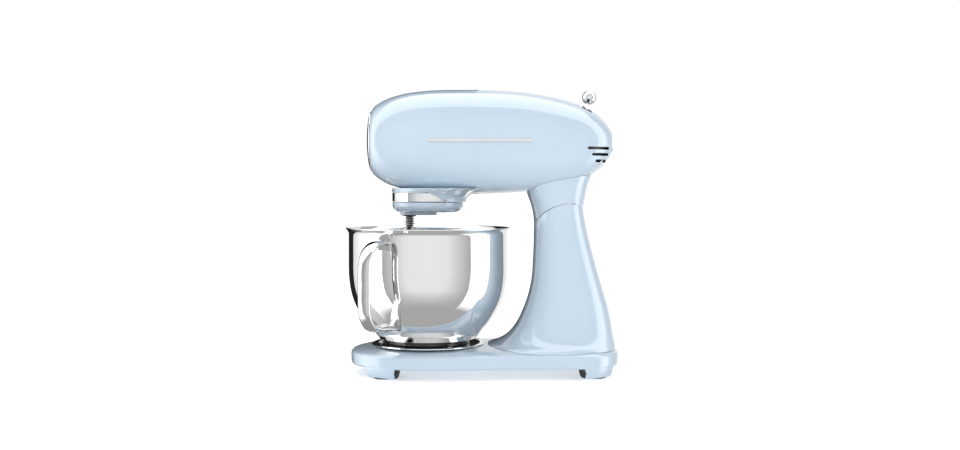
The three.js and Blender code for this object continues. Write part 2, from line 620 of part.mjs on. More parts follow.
// ---------------------------------------------------------------- gear train and motor
function buildGearbox() {
  const { front, wall, rear, half, bottom, top, wallTop } = GEARBOX;
  const plate = block([front, rear], [-half, half], [bottom, top]);
  const upright = block([wall, rear], [-16, half], [top - 1, wallTop]);
  const inside = headForm(HEAD_WALL + GAP, everyOther(HEAD), HEAD_INNER_SIDES);
  const frame = cut(common(join(plate, upright), inside), block([-20, 64], [-26, 26], [200, 250]));
  add('gearbox_frame', cut(
    join(frame, rodZ(MAIN_BEARING.seat, [242.5, top + 1], 0, 0, 20)),
    rodZ(MAIN_BEARING.outer + GAP, [230, 270], 0, 0, 20),
    rodX(9.1, [60, 80], 0, HUB_AXIS_Z, 20),
    rodX(6.4, [60, 80], CLUSTER_Y, CLUSTER_Z),
  ), CAST);
  add('main_bearing', turnedZ(
    ringProfile(MAIN_BEARING.outer, UPRIGHT_SHAFT.radius + GAP, MAIN_BEARING.bottom, MAIN_BEARING.top),
  ), STEEL);
  const hole = gearOutline(RING.teeth, RING.module, Math.PI + Math.PI / RING.teeth, { internal: true });
  const ring = new THREE.Shape().absarc(0, 0, RING.outer, 0, 2 * Math.PI);
  ring.holes.push(new THREE.Path(hole.map(([u, v]) => new THREE.Vector2(u, v))));
  add('ring_gear', extruded(ring, RING.top - RING.bottom, 20).translate(0, 0, RING.bottom), STEEL);
}

function buildGearTrain() {
  const shaftHole = rodX(HUB_SHAFT.radius + GAP, [-20, 80], 0, HUB_AXIS_Z);
  const pinionRadius = (BEVEL.module * BEVEL.pinionTeeth) / 2;
  const wheelRadius = (BEVEL.module * BEVEL.wheelTeeth) / 2;
  const backCone = 0.92;
  const backLength = 3.5;
  const wheelOutline = gearOutline(BEVEL.wheelTeeth, BEVEL.module, 0, BEVEL);
  const wheel = bevelForm(wheelOutline, [
    [-pinionRadius - backLength, backCone],
    [-pinionRadius, 1],
    [-pinionRadius * BEVEL.inner, BEVEL.inner],
  ]).translate(0, 0, HUB_AXIS_Z);
  add('bevel_wheel', cut(
    join(wheel, rodZ(10, [HUB_AXIS_Z - 22, HUB_AXIS_Z - 13], 0, 0)),
    rodZ(UPRIGHT_SHAFT.radius + GAP, [270, 320]),
  ), STEEL);
  const pinionOutline = gearOutline(
    BEVEL.pinionTeeth, BEVEL.module, -Math.PI / 2 + Math.PI / BEVEL.pinionTeeth, BEVEL,
  );
  const pinion = bevelForm(pinionOutline, [
    [wheelRadius * BEVEL.inner, BEVEL.inner],
    [wheelRadius, 1],
    [wheelRadius + backLength, backCone],
  ]).applyMatrix4(Y_Z_TO_X).translate(0, 0, HUB_AXIS_Z);
  add('bevel_pinion', cut(
    join(pinion, rodX(9, [wheelRadius + 1, wheelRadius + 10], 0, HUB_AXIS_Z)),
    shaftHole,
  ), STEEL);
  const toCluster = Math.atan2(CLUSTER_Z - HUB_AXIS_Z, CLUSTER_Y);
  const hubGear = prismX(
    gearOutline(HUB_PAIR.wheelTeeth, HUB_PAIR.module, toCluster),
    [HUB_PAIR.from, HUB_PAIR.to], 0, HUB_AXIS_Z,
  );
  add('hub_gear', cut(hubGear, shaftHole), STEEL);
  const smallGear = prismX(
    gearOutline(HUB_PAIR.pinionTeeth, HUB_PAIR.module, toCluster + Math.PI + Math.PI / HUB_PAIR.pinionTeeth),
    [HUB_PAIR.from - 0.5, HUB_PAIR.to + 0.5], CLUSTER_Y, CLUSTER_Z,
  );
  const toMotor = Math.atan2(MOTOR_AXIS_Z - CLUSTER_Z, -CLUSTER_Y);
  const largeGear = prismX(
    gearOutline(MOTOR_PAIR.wheelTeeth, MOTOR_PAIR.module, toMotor),
    [MOTOR_PAIR.from, MOTOR_PAIR.to], CLUSTER_Y, CLUSTER_Z,
  );
  add('cluster_gear', cut(
    join(smallGear, rodX(5.5, [HUB_PAIR.to - 1, MOTOR_PAIR.from + 1], CLUSTER_Y, CLUSTER_Z), largeGear),
    rodX(CLUSTER_AXLE + GAP, [40, 90], CLUSTER_Y, CLUSTER_Z, 16),
  ), STEEL);
  add('cluster_axle', rodX(CLUSTER_AXLE, [52, MOTOR.front + 3.5], CLUSTER_Y, CLUSTER_Z, 16), STEEL);
  const motorPinion = prismX(
    gearOutline(MOTOR_PAIR.pinionTeeth, MOTOR_PAIR.module, toMotor + Math.PI + Math.PI / MOTOR_PAIR.pinionTeeth),
    [MOTOR_PAIR.from - 0.5, MOTOR_PAIR.to + 0.5], 0, MOTOR_AXIS_Z,
  );
  add('motor_pinion', cut(motorPinion, rodX(PINION_SHAFT + GAP, ALONG, 0, MOTOR_AXIS_Z, 16)), STEEL);
}

function buildMotor() {
  const { radius, inner, front, rear, wall, armature, coreFrom, coreTo, shaft, bearing, shaftRear } = MOTOR;
  const bearingRing = (x) => turnedX(ringProfile(bearing - GAP, shaft + GAP, x, x + wall), MOTOR_AXIS_Z);
  add('motor_can', cut(
    turnedX([
      [bearing, front], [radius, front], [radius, rear], [inner, rear], [inner, front + wall],
      [bearing, front + wall], [bearing, front],
    ], MOTOR_AXIS_Z),
    rodX(CLUSTER_AXLE + GAP, ALONG, CLUSTER_Y, CLUSTER_Z, 16),
  ), STEEL);
  add('motor_end_bell', turnedX(ringProfile(radius, bearing, rear + GAP, rear + wall), MOTOR_AXIS_Z), CAST);
  add('motor_front_bearing', bearingRing(front), STEEL);
  add('motor_rear_bearing', bearingRing(rear), STEEL);
  add('stator', turnedX(ringProfile(inner - GAP, armature + 0.7, coreFrom, coreTo), MOTOR_AXIS_Z), STEEL);
  add('rotor', turnedX([
    [0, GEARBOX.rear + 0.7], [PINION_SHAFT, GEARBOX.rear + 0.7], [PINION_SHAFT, 82], [shaft, 82],
    [shaft, coreFrom], [armature, coreFrom], [armature, coreTo], [14, coreTo + 3], [11, coreTo + 5],
    [11, coreTo + 17], [shaft, coreTo + 17], [shaft, shaftRear], [0, shaftRear],
  ], MOTOR_AXIS_Z), COPPER);
  const blades = [];
  for (let i = 0; i < FAN.blades; i += 1) {
    blades.push(
      block([FAN.from + 1.3, FAN.to], [-0.8, 0.8], [FAN.hub - 1, FAN.disc])
        .rotateX((i * 2 * Math.PI) / FAN.blades)
        .translate(0, 0, MOTOR_AXIS_Z),
    );
  }
  const disc = rodX(FAN.disc, [FAN.from, FAN.from + 1.5], 0, MOTOR_AXIS_Z, 20);
  const hub = rodX(FAN.hub, [FAN.from + 0.5, FAN.to], 0, MOTOR_AXIS_Z);
  add('cooling_fan', cut(
    join(disc, hub, ...blades),
    rodX(shaft + GAP, ALONG, 0, MOTOR_AXIS_Z, 16),
  ), BLACK);
}

// A board beside the motor with a heat sink, two capacitors and a terminal block.
function buildControlBoard() {
  const [face, back] = [42.4, 44];
  const heatSink = block([100, 118], [back, back + 6], [285, 310]);
  const capacitors = [135, 150].map((x) => rodY(6, [back - 1, back + 5], x, 300, 16));
  const terminals = block([125, 160], [back, back + 3], [274, 284]);
  add('control_board', join(block([95, 165], [face, back], [268, 318]), heatSink, ...capacitors, terminals), BOARD);
}

// ---------------------------------------------------------------- planetary head
function buildPlanetary() {
  const { radius, top, bottom, boss, bossBottom } = CARRIER;
  const dish = turnedZ([
    [0, bottom], [36, bottom], [40.5, bottom + 0.7], [44, bottom + 2.6], [46.5, bottom + 5.6],
    [radius, bottom + 9.5], [radius, top], [0, top],
  ], 32);
  const bossOutline = [];
  for (let i = 0; i <= 16; i += 1) {
    const angle = Math.PI / 2 + (Math.PI * i) / 8;
    bossOutline.push([(i <= 8 ? -ORBIT : 0) + boss * Math.cos(angle), boss * Math.sin(angle)]);
  }
  add('planetary_carrier', cut(
    join(dish, prismZ(bossOutline.slice(0, -1), [bossBottom, bottom + 1])),
    rodZ(UPRIGHT_SHAFT.radius + GAP, [UPRIGHT_SHAFT.bottom - GAP, 260]),
    rodZ(SPINDLE_BUSH_OUTER + GAP, [200, 260], -ORBIT, 0),
  ), PAINT);
  add('spindle_bush', turnedZ(
    ringProfile(SPINDLE_BUSH_OUTER, SPINDLE.radius + GAP, bossBottom, top + 1),
  ).translate(-ORBIT, 0, 0), BRONZE);
  add('upright_shaft', rodZ(UPRIGHT_SHAFT.radius, [UPRIGHT_SHAFT.bottom, UPRIGHT_SHAFT.top]), STEEL);
  add('planet_gear', cut(
    prismZ(gearOutline(PLANET.teeth, PLANET.module, Math.PI), [PLANET.bottom, PLANET.top]),
    rodZ(SPINDLE.radius + GAP, [200, 260]),
  ).translate([-ORBIT, 0, 0]), STEEL);
  const collarTop = bossBottom - GAP;
  add('spindle', cut(turnedZ([
    [0, SPINDLE.bottom], [SPINDLE.radius - 1, SPINDLE.bottom], [SPINDLE.radius, SPINDLE.bottom + 1],
    [SPINDLE.radius, SPRING.top + 0.2], [9.5, SPRING.top + 0.5], [8.5, collarTop], [SPINDLE.radius, collarTop],
    [SPINDLE.radius, SPINDLE.top], [0, SPINDLE.top],
  ], 16).translate(-ORBIT, 0, 0), rodY(CROSS_PIN + GAP, [-20, 20], -ORBIT, SPINDLE.pinZ)), POLISHED);
  const pinLength = [-SPINDLE.pinHalfLength, SPINDLE.pinHalfLength];
  add('cross_pin', rodY(CROSS_PIN, pinLength, -ORBIT, SPINDLE.pinZ), STEEL);
  add('spindle_spring', springForm().translate(-ORBIT, 0, 0), STEEL);
}

class Helix extends THREE.Curve {
  getPoint(t) {
    const angle = 2 * Math.PI * SPRING.turns * t;
    const z = SPRING.bottom + SPRING.wire + (SPRING.top - SPRING.bottom - 2 * SPRING.wire) * t;
    return new THREE.Vector3(SPRING.coil * Math.cos(angle), SPRING.coil * Math.sin(angle), z);
  }
}

function springForm() {
  const section = new THREE.Shape().absarc(0, 0, SPRING.wire, 0, 2 * Math.PI);
  return new THREE.ExtrudeGeometry(section, {
    steps: SPRING.turns * 10,
    extrudePath: new Helix(),
    curveSegments: 2,
  });
}

function buildBeater() {
  const { hubRadius, hubBottom, hubTop, bottom, top, halfThickness } = BEATER;
  // Half of the beater's outline: x out from its own axis, and z.
  const half = [
    [0, bottom], [20, bottom + 1], [35, bottom + 10], [46, bottom + 28], [54, bottom + 52], [58, bottom + 76],
    [52, top - 12], [34, top - 3], [0, top],
  ];
  const outline = [...half, ...half.slice(1, -1).reverse().map(([x, z]) => [-x, z])];
  const middleZ = (bottom + top) / 2;
  const window = outline.map(([x, z]) => [x * 0.8, middleZ + (z - middleZ) * 0.84]);
  const slab = [-halfThickness, halfThickness];
  const plate = solid(prismY(outline, slab));
  const frame = cut(plate, prismY(window, [-20, 20]));
  const chevrons = [[80, 118], [112, 150]].flatMap(([low, high]) => (
    [-60, 60].map((x) => bar([x, low], [0, high], 4, slab))
  ));
  const bars = common(join(bar([0, bottom + 4], [0, top - 2], 4.5, slab), ...chevrons), plate);
  const hub = cut(
    rodZ(hubRadius, [hubBottom, hubTop], 0, 0, 20),
    rodZ(SPINDLE.radius + GAP, [SPINDLE.bottom - 6, hubTop + 5], 0, 0, 20),
    block([-2.4, 2.4], [-20, 20], [SPINDLE.pinZ - 8, hubTop + 5]),
  );
  const ear = block([hubRadius - 1.5, hubRadius + 4], [-3, 3], [hubTop - 4, hubTop - 0.4]);
  add('flat_beater', join(frame, bars, hub, ear).translate([-ORBIT, 0, 0]), CAST);
}

// ---------------------------------------------------------------- controls
const leaned = (geometry, swing) => (
  geometry.rotateX(-radians(swing)).rotateY(radians(LEVER.lean)).translate(LEVER.pivotX, 0, LEVER.pivotZ)
);

function buildSpeedLever() {
  const { rest, length, stem, ball, eye, axle, halfWidth } = LEVER;
  const stalk = join(rodX(eye, [-halfWidth, halfWidth], 0, 0, 20), rodZ(stem, [4, length - 1], 0, 0, 14));
  const lever = cut(stalk, rodX(axle + GAP, [-10, 10], 0, 0, 16));
  add('speed_lever', leaned(geometryOf(lever), rest), CHROME);
  const knob = cut(new THREE.SphereGeometry(ball, 12, 8), rodZ(stem + GAP, [-20, GAP]));
  add('lever_knob', leaned(geometryOf(knob).translate(0, 0, length), rest), CHROME);
  const housing = join(
    block([halfWidth + 0.8, 12], [-10, 10], [-8, 8]),
    rodX(axle, [-halfWidth - 0.8, 4], 0, 0, 16),
  );
  add('speed_switch', leaned(geometryOf(housing), 0), BLACK);
}

function buildLatch() {
  const { radius, z, face, back, stem, stemFront } = BUTTON;
  add('release_button', turnedX([
    [0, stemFront], [stem, stemFront], [stem, back], [radius - 0.5, back], [radius, back + 0.5],
    [radius, face - 1.4], [radius - 1.2, face - 0.4], [radius - 4, face], [0, face],
  ], z, 16), CHROME);
  const [pivot, ...corners] = LATCH_CORNERS;
  const arms = corners.map((corner, i) => bar(LATCH_CORNERS[i], corner, LATCH_HALF, LATCH_Y));
  const toe = bar(pivot, LATCH_TOE, LATCH_HALF, LATCH_Y);
  const eye = rodY(LATCH_PIN + 4, LATCH_Y, ...pivot, 20);
  const pad = block([217.5, stemFront - 0.5], [-5, LATCH_Y[1]], [z - 9, z + 9]);
  add('latch_lever', cut(join(...arms, toe, eye, pad), rodY(LATCH_PIN + GAP, ACROSS, ...pivot, 16)), STEEL);
  add('latch_pivot', rodY(LATCH_PIN, [LATCH_Y[0] - 3, LATCH_Y[1] + 3], ...pivot, 16), STEEL);
}

// ---------------------------------------------------------------- bowl
function buildBowl() {
  const { outer: footOuter, inner: footInner, bottom, top } = BOWL_FOOT;
  const [floorRadius, floor] = BOWL[0];
  const inner = BOWL.slice(1, -1).reverse().map(([r, z]) => [r - BOWL_WALL, z]);
  add('bowl', turnedZ([
    [0, floor], ...BOWL, ...RIM, ...inner, [floorRadius - 1, floor + BOWL_WALL], [0, floor + BOWL_WALL],
  ], 32), POLISHED);
  add('bowl_foot', turnedZ(ringProfile(footOuter, footInner, bottom, top), 20), POLISHED);
}

// Sections of the handle's bar square to its path, from rows of distance out from the bowl's axis and z.
function handleBar() {
  const { halfWidth, halfThickness, sides } = HANDLE_SECTION;
  return loft(HANDLE_PATH.map(([out, z], i) => {
    const before = HANDLE_PATH[Math.max(i - 1, 0)];
    const after = HANDLE_PATH[Math.min(i + 1, HANDLE_PATH.length - 1)];
    const heading = Math.atan2(after[1] - before[1], after[0] - before[0]);
    const ring = [];
    for (let k = 0; k < sides; k += 1) {
      const angle = (2 * Math.PI * k) / sides;
      const across = halfThickness * power(Math.sin(angle), 0.8);
      ring.push([
        out - across * Math.sin(heading),
        halfWidth * power(Math.cos(angle), 0.7),
        z + across * Math.cos(heading),
      ]);
    }
    return ring;
  }));
}

// The handle is one bar and an upper tab, both cut to stand just clear of the bowl's wall.
function buildHandle() {
  const { halfWidth } = HANDLE_SECTION;
  const [floorRadius, floor] = BOWL[0];
  const tab = block([104, HANDLE_TAB.face], [-halfWidth, halfWidth], [HANDLE_TAB.bottom, HANDLE_TAB.top]);
  const wall = [...BOWL, ...RIM.slice(0, 2)].map(([radius, z]) => [radius + GAP, z]);
  const inside = turnedZ([[0, floor - 8], [floorRadius, floor - 8], ...wall, [0, 200]], 64);
  add('bowl_handle', cut(join(handleBar(), tab), inside).rotate([0, 0, HANDLE_AZIMUTH]), POLISHED);
}

buildBase();
buildColumn();
buildPlate();
buildNeck();
buildHead();
buildHub();
buildGearbox();
buildGearTrain();
buildMotor();
buildControlBoard();
buildPlanetary();
buildBeater();
buildSpeedLever();
buildLatch();
buildBowl();
buildHandle();

export default mixer;
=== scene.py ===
"""Looks of a stand mixer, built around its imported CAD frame.

Forms are written in millimetres in the mixer's own axes: X runs from the bowl's axis to the back of
the machine, Y = 0 is the middle plane with -Y the near side, and Z = 0 is the worktop.
at() turns such a point into the frame's metres.
"""

import math

import bpy
import bmesh
import numpy as np
from mathutils import Matrix, Vector


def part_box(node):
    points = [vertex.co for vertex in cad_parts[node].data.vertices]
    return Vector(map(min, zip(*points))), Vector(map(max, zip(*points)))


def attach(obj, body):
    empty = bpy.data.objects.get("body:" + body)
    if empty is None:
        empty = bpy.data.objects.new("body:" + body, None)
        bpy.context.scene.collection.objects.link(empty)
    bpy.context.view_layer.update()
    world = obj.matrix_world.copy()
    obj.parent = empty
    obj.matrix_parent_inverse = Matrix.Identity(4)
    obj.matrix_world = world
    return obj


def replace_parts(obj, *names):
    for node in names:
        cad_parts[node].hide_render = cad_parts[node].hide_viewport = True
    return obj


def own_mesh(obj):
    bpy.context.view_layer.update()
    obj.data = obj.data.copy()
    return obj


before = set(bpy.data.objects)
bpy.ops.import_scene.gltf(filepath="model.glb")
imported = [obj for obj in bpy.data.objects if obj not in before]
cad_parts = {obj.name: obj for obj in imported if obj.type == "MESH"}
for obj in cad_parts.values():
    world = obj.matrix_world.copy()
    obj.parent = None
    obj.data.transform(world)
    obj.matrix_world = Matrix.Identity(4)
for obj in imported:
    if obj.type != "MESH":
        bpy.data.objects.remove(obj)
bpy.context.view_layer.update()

# ---------------------------------------------------------------- driving sizes, in millimetres
MM = 0.001
PLATE_LOW, PLATE_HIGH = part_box("bowl_plate")
AXIS = (PLATE_LOW + PLATE_HIGH) / 2  # the bowl's axis, in the frame's metres
GAP = 0.3  # between pieces that touch

# Head: rows of x, top, bottom, half width, squareness of the upper half and of the lower half.
HEAD = [
    (-75, 349.5, 269.5, 40.5, 2, 2),
    (-72.3, 354.6, 265.5, 45.5, 2.05, 2.05),
    (-65.8, 359.9, 260, 50.5, 2.1, 2.2),
    (-54, 366, 253, 55, 2.2, 2.4),
    (-36, 371.8, 247, 59, 2.3, 2.6),
    (-8, 376.2, 242.6, 62, 2.35, 2.9),
    (45, 378, 239.6, 65, 2.4, 3),
    (95, 377.2, 240.4, 65, 2.4, 3),
    (135, 373.8, 243, 64, 2.4, 3),
    (166, 368.4, 246.5, 62.5, 2.35, 3),
    (190, 362.3, 251, 60, 2.3, 2.9),
    (208, 356, 258.5, 57, 2.25, 2.7),
    (221, 348.7, 267, 52, 2.2, 2.5),
    (232, 340.2, 275, 44.5, 2.1, 2.3),
    (239.5, 331.8, 283.5, 35.5, 2.05, 2.1),
    (243.5, 326, 289, 28, 2, 2),
    (245.2, 322, 294, 20, 2, 2),
]
HEAD_WALL = 4
# Neck and column: rows of z, front, rear and half width.
NECK = [
    (198, 142.6, 210, 46.6),
    (215, 141, 208.4, 46.8),
    (226, 138.3, 208.6, 47),
    (236, 134.8, 210.5, 47),
    (247, 131, 212.5, 47),
    (258, 127, 216, 47),
    (272, 122, 222, 47),
]
COLUMN = [
    (29, 66, 249.5, 77.5),
    (34, 72, 250.8, 77.5),
    (38.5, 80.6, 251, 74.5),
    (43, 93.5, 250, 70),
    (51, 106.5, 248.2, 64.5),
    (63, 116.8, 246.2, 60),
    (85, 128, 242, 55),
    (118, 138, 232.5, 50.5),
    (156, 141.4, 221.6, 47.5),
    (190, 142.4, 213, 46.5),
    (232, 142.4, 206, 46.5),
]
COLUMN_SQUARENESS = 2.6
NECK_WALL = 7
COLUMN_WALL = 6

# Tilt joint.
HINGE = (188, 172)
SPLIT_RADIUS = 54.3
SPLIT_GAP = 0.8  # the open line between the tilting neck and the column
SPLIT_FRONT_Z = 200.8  # where the split meets the front of the column
SPLIT_SIDES = 160
TILT = 45  # degrees from level to fully raised
ARM = {"angle": 131, "half_width": 7.5, "half_thick": 12, "eye": 13, "reach": 60}
ARM_CLEARANCE = 1.2
PIN_HOLE = 5.3
BUSH_HOLE = 8
KEEPER = {"angle": 80, "foot": 50, "tip": 63.6, "half": 3, "side": (14, 22)}
GLAND = {"place": (28, 62), "bore": 3.4, "radius": 6, "front": 232, "rear": 244.5}

# Base.
BASE_OUTLINE = [
    (-103, 0), (-92, 45), (-58, 76), (0, 91), (60, 88),
    (120, 81), (180, 79.5), (226, 73), (247, 48), (253.5, 0),
]
BASE_SIDE = [(14.5, 2.4), (16, 0.3), (28.5, 0), (31, 1), (33.2, 4.4), (36, 15), (38.2, 44)]
BASE_EASE = 2.5  # rounding of its edges
BASE_WALL = 6
BASE_CAVITY_TOP = 32.5
FEET = {"front_near": (-56, -55), "front_far": (-56, 55), "rear_near": (221, -50), "rear_far": (221, 50)}
FOOT_RADIUS = 12
FOOT_HEIGHT = 5.7
SKIRT_HALF = (21.5, 28)
SKIRT_TAPER = [(1, 2.4), (8, 0.8), (16, -1.5), (28, -3)]  # z, and how far a leg is drawn in
SKIRT_SIDE = [(2, 5.6), (3, 5), (9, 2.4), (14, 1), (28, 1)]  # z, and the inset of the base that bounds it
SKIRT_SQUARENESS = 4
FOOT_LIP_SIDE = [(2.4, 6.2), (9, 3), (15, 2)]
FOOT_LIP = 0.9  # how far the rubber shows past a leg on its inward side

# Bowl, its handle and plate.
PLATE_RADIUS = 75.4
PLATE_BOTTOM = 38.7
PLATE_TOP = 40.3
PLATE_SCREWS = 3
PLATE_SCREW_CIRCLE = 61
# Outer profile rows of radius and z, and the thin flared rim round to the wall's inside.
BOWL = [
    (66, 47.2), (73, 57.5), (82.5, 68), (91.3, 81), (98, 94), (103, 110), (105.7, 130), (106, 158),
    (106, 187),
]
BOWL_WALL = 1.2
RIM = [
    (107.3, 190.2), (109.2, 192.6), (110, 193.8), (109.7, 194.5), (108.9, 194.2), (107.4, 192.6),
    (105.9, 190.4),
]
BOWL_FOOT = {"inner": 53.6, "outer": 55.3, "bottom": 40.6, "top": 46.9}
HANDLE_AZIMUTH = -118.5  # degrees from +X
HANDLE_PATH = [
    (106.5, 177.5), (122, 178), (137.5, 173), (148.5, 161), (152, 145), (152, 124),
    (152, 102), (149, 86), (138.5, 74), (122, 69.5), (104, 69), (80, 67),
]
HANDLE_HALF = (8.8, 4.0)
HANDLE_TAB = {"face": 107.9, "bottom": 168, "top": 188.6}

# Planetary drive.
ORBIT = 25
RING_OUTER = 47.7
RING_INNER = 43.5
RING_BOTTOM = 229
RING_TOP = 241
BOSS_FLOOR = 241.3
# The boss over the ring flares back into the head's underside: rows of z, centre, half length, half width.
BOSS = [
    (229, 1.6, 49.8, 49.8),
    (234, 2.4, 50.4, 50.2),
    (238, 4.6, 52.6, 51.4),
    (241, 8.4, 56.4, 53.6),
    (243.6, 13.6, 61.6, 56.6),
    (247, 22, 70, 60),
]
CARRIER_BOTTOM = 215
CARRIER_TOP = 228.3
CARRIER_BOSS = 12
SPINDLE = {"radius": 4.5, "bottom": 176, "collar": 210.7, "top": 240, "pin_z": 184.5}
SPRING = {"coil": 6.1, "wire": 0.7, "bottom": 195.9, "top": 209.3, "turns": 4, "pushed": 0.63}
BEATER = {"bottom": 57, "top": 166, "half_thick": 4, "hub": 9, "hub_top": 195.1}

# Hub, controls and vents.
HUB_Z = 310
HUB_OPENING = 32
HUB_CAP_RADIUS = 39.6
LEVER = {"x": 192.2, "z": 302.2, "lean": 21, "rest": 18, "length": 76.6, "stem": 1.5, "ball": 9.65}
LEVER_SLOT = (7, 30)  # half sizes along and across the head
LEVER_GATE = (2.6, 24)
BUTTON = {"z": 308, "radius": 14, "back": 243.5, "face": 247.4, "stem": 4, "stem_front": 226.1}
VENTS = [(299, 209, 239), (291, 215, 239), (282.6, 220, 236)]  # z, front, rear
VENT_HALF = 1.85
TRIM = {"x": (2, 138), "z": (306.6, 309.6), "thick": 1.2}

# Cutting forms reach this far, so that they pass right through.
ACROSS = (-100, 100)
ALONG = (0, 300)

SIDES = 96  # points round a body section
ROUND_SIDES = 160  # points round the plate, the ring and the dish
INNER_SIDES = 48  # points round a hidden inside
STEPS = 5  # smooth rows in each gap of a form's own rows
SHARP_ANGLE = math.radians(32)


# ---------------------------------------------------------------- points and curves
def at(point):
    """A point of the mixer's millimetres in the frame's metres."""
    return AXIS.x + point[0] * MM, AXIS.y + point[1] * MM, point[2] * MM


def through(rows, steps=STEPS):
    """A smooth curve through rows of numbers, with `steps` rows for each gap."""
    rows = np.array(rows, float)
    gaps = np.linalg.norm(np.diff(rows, axis=0), axis=1)[:, None]
    slopes = np.diff(rows, axis=0) / gaps
    inner = (slopes[:-1] * gaps[1:] + slopes[1:] * gaps[:-1]) / (gaps[:-1] + gaps[1:])
    first, last = 2 * slopes[0] - inner[0], 2 * slopes[-1] - inner[-1]
    tangents = np.vstack([first, inner, last])
    curve = []
    for i, gap in enumerate(gaps):
        for t in np.arange(steps) / steps:
            start = (2 * t**3 - 3 * t**2 + 1) * rows[i] + (t**3 - 2 * t**2 + t) * gap * tangents[i]
            end = (3 * t**2 - 2 * t**3) * rows[i + 1] + (t**3 - t**2) * gap * tangents[i + 1]
            curve.append(start + end)
    return [*curve, rows[-1]]


def eased(points, radius, steps=4):
    """An open outline with each inner corner rounded off over about `radius`."""
    points = [np.array(p, float) for p in points]
    result = [points[0]]
    for before, corner, after in zip(points, points[1:], points[2:]):
        sides = []
        for other in (before, after):
            span = np.linalg.norm(other - corner)
            sides.append(corner + (other - corner) * min(radius / span, 0.45))
        for t in np.linspace(0, 1, steps + 1):
            result.append((1 - t) ** 2 * sides[0] + 2 * t * (1 - t) * corner + t**2 * sides[1])
    return [*result, points[-1]]


def circle(radius, sides=SIDES, centre=(0, 0)):
    turns = [2 * math.pi * i / sides for i in range(sides)]
    return [(centre[0] + radius * math.cos(a), centre[1] + radius * math.sin(a)) for a in turns]


def superellipse(half_u, half_v, upper, lower, sides=SIDES):
    """Outline whose upper and lower halves have their own squareness."""
    outline = []
    for i in range(sides):
        c, s = math.cos(2 * math.pi * i / sides), math.sin(2 * math.pi * i / sides)
        e = upper if s >= 0 else lower
        r = (abs(c / half_u) ** e + abs(s / half_v) ** e) ** (-1 / e)
        outline.append((r * c, r * s))
    return outline


def around_hinge(radius, angle):
    turn = math.radians(angle)
    return HINGE[0] + radius * math.cos(turn), HINGE[1] + radius * math.sin(turn)


def sector(radius, start, end, steps=24):
    return [around_hinge(radius, start + (end - start) * i / steps) for i in range(steps + 1)]


# ---------------------------------------------------------------- closed forms
def form(vertices, faces):
    """A closed mesh object in the frame's metres, with its faces turned outward."""
    mesh = bpy.data.meshes.new("form")
    mesh.from_pydata([at(v) for v in vertices], [], faces)
    work = bmesh.new()
    work.from_mesh(mesh)
    bmesh.ops.recalc_face_normals(work, faces=work.faces)
    work.to_mesh(mesh)
    work.free()
    obj = bpy.data.objects.new("form", mesh)
    bpy.context.scene.collection.objects.link(obj)
    return obj


def loft(rings):
    """Rings of equal length joined by walls, closed by a flat face at each end."""
    count = len(rings[0])
    faces = []
    for ring in range(len(rings) - 1):
        for i in range(count):
            a, b = ring * count + i, ring * count + (i + 1) % count
            faces.append((a, b, b + count, a + count))
    last = (len(rings) - 1) * count
    faces.append(tuple(range(count)))
    faces.append(tuple(range(last, last + count)))
    return form([p for ring in rings for p in ring], faces)


def placed(u, v, w, axis):
    """A point with w along the axis; an outline on X is in y and z, on Y in x and z, on Z in x and y."""
    return {"x": (w, u, v), "y": (u, w, v), "z": (u, v, w)}[axis]


def prism(outline, span, axis):
    return loft([[placed(u, v, w, axis) for u, v in outline] for w in span])


def rod(radius, span, axis, centre=(0, 0), sides=64):
    return prism(circle(radius, sides, centre), span, axis)


def block(x, y, z):
    return prism([(x[0], y[0]), (x[1], y[0]), (x[1], y[1]), (x[0], y[1])], z, "z")


def turned(profile, axis="z", centre=(0, 0), sides=SIDES):
    """A profile of radius and height turned about an axis. It closes on the axis, or else on itself."""
    rings, vertices, faces = [], [], []
    for radius, height in profile:
        start = len(vertices)
        if radius < 1e-6:
            vertices.append(placed(centre[0], centre[1], height, axis))
            rings.append([start] * sides)
        else:
            vertices += [placed(u, v, height, axis) for u, v in circle(radius, sides, centre)]
            rings.append(list(range(start, start + sides)))
    if profile[0][0] > 1e-6:
        rings.append(rings[0])
    for low, high in zip(rings, rings[1:]):
        for i in range(sides):
            j = (i + 1) % sides
            corners = dict.fromkeys((low[i], low[j], high[j], high[i]))
            faces.append(tuple(corners))
    return form(vertices, faces)


def boolean(kind, first, others):
    """The first form after a boolean with each of the others, which are used up."""
    for other in others:
        modifier = first.modifiers.new(kind, "BOOLEAN")
        modifier.operation = kind
        modifier.object = other
        modifier.solver = "MANIFOLD"
    bpy.context.view_layer.update()
    mesh = bpy.data.meshes.new_from_object(first.evaluated_get(bpy.context.evaluated_depsgraph_get()))
    first.modifiers.clear()
    first.data = mesh
    for other in others:
        bpy.data.objects.remove(other)
    return first


def join(first, *others):
    return boolean("UNION", first, others)


def cut(first, *others):
    return boolean("DIFFERENCE", first, others)


def common(first, *others):
    return boolean("INTERSECT", first, others)


def turn_about(obj, axis, degrees, centre=(0, 0, 0)):
    """Turns a form's mesh about a line through a point of the mixer's millimetres."""
    middle = Matrix.Translation(Vector(at(centre)))
    obj.data.transform(middle @ Matrix.Rotation(math.radians(degrees), 4, axis) @ middle.inverted())
    return obj


def shift(obj, x=0, y=0, z=0):
    obj.data.transform(Matrix.Translation(Vector((x, y, z)) * MM))
    return obj


def sweep(path, section):
    """A section carried along a path of the XZ plane, square to it."""
    rings = []
    for i, (x, z) in enumerate(path):
        before, after = path[max(i - 1, 0)], path[min(i + 1, len(path) - 1)]
        heading = math.atan2(after[1] - before[1], after[0] - before[0])
        rings.append([
            (x - v * math.sin(heading), u, z + v * math.cos(heading)) for u, v in section
        ])
    return loft(rings)


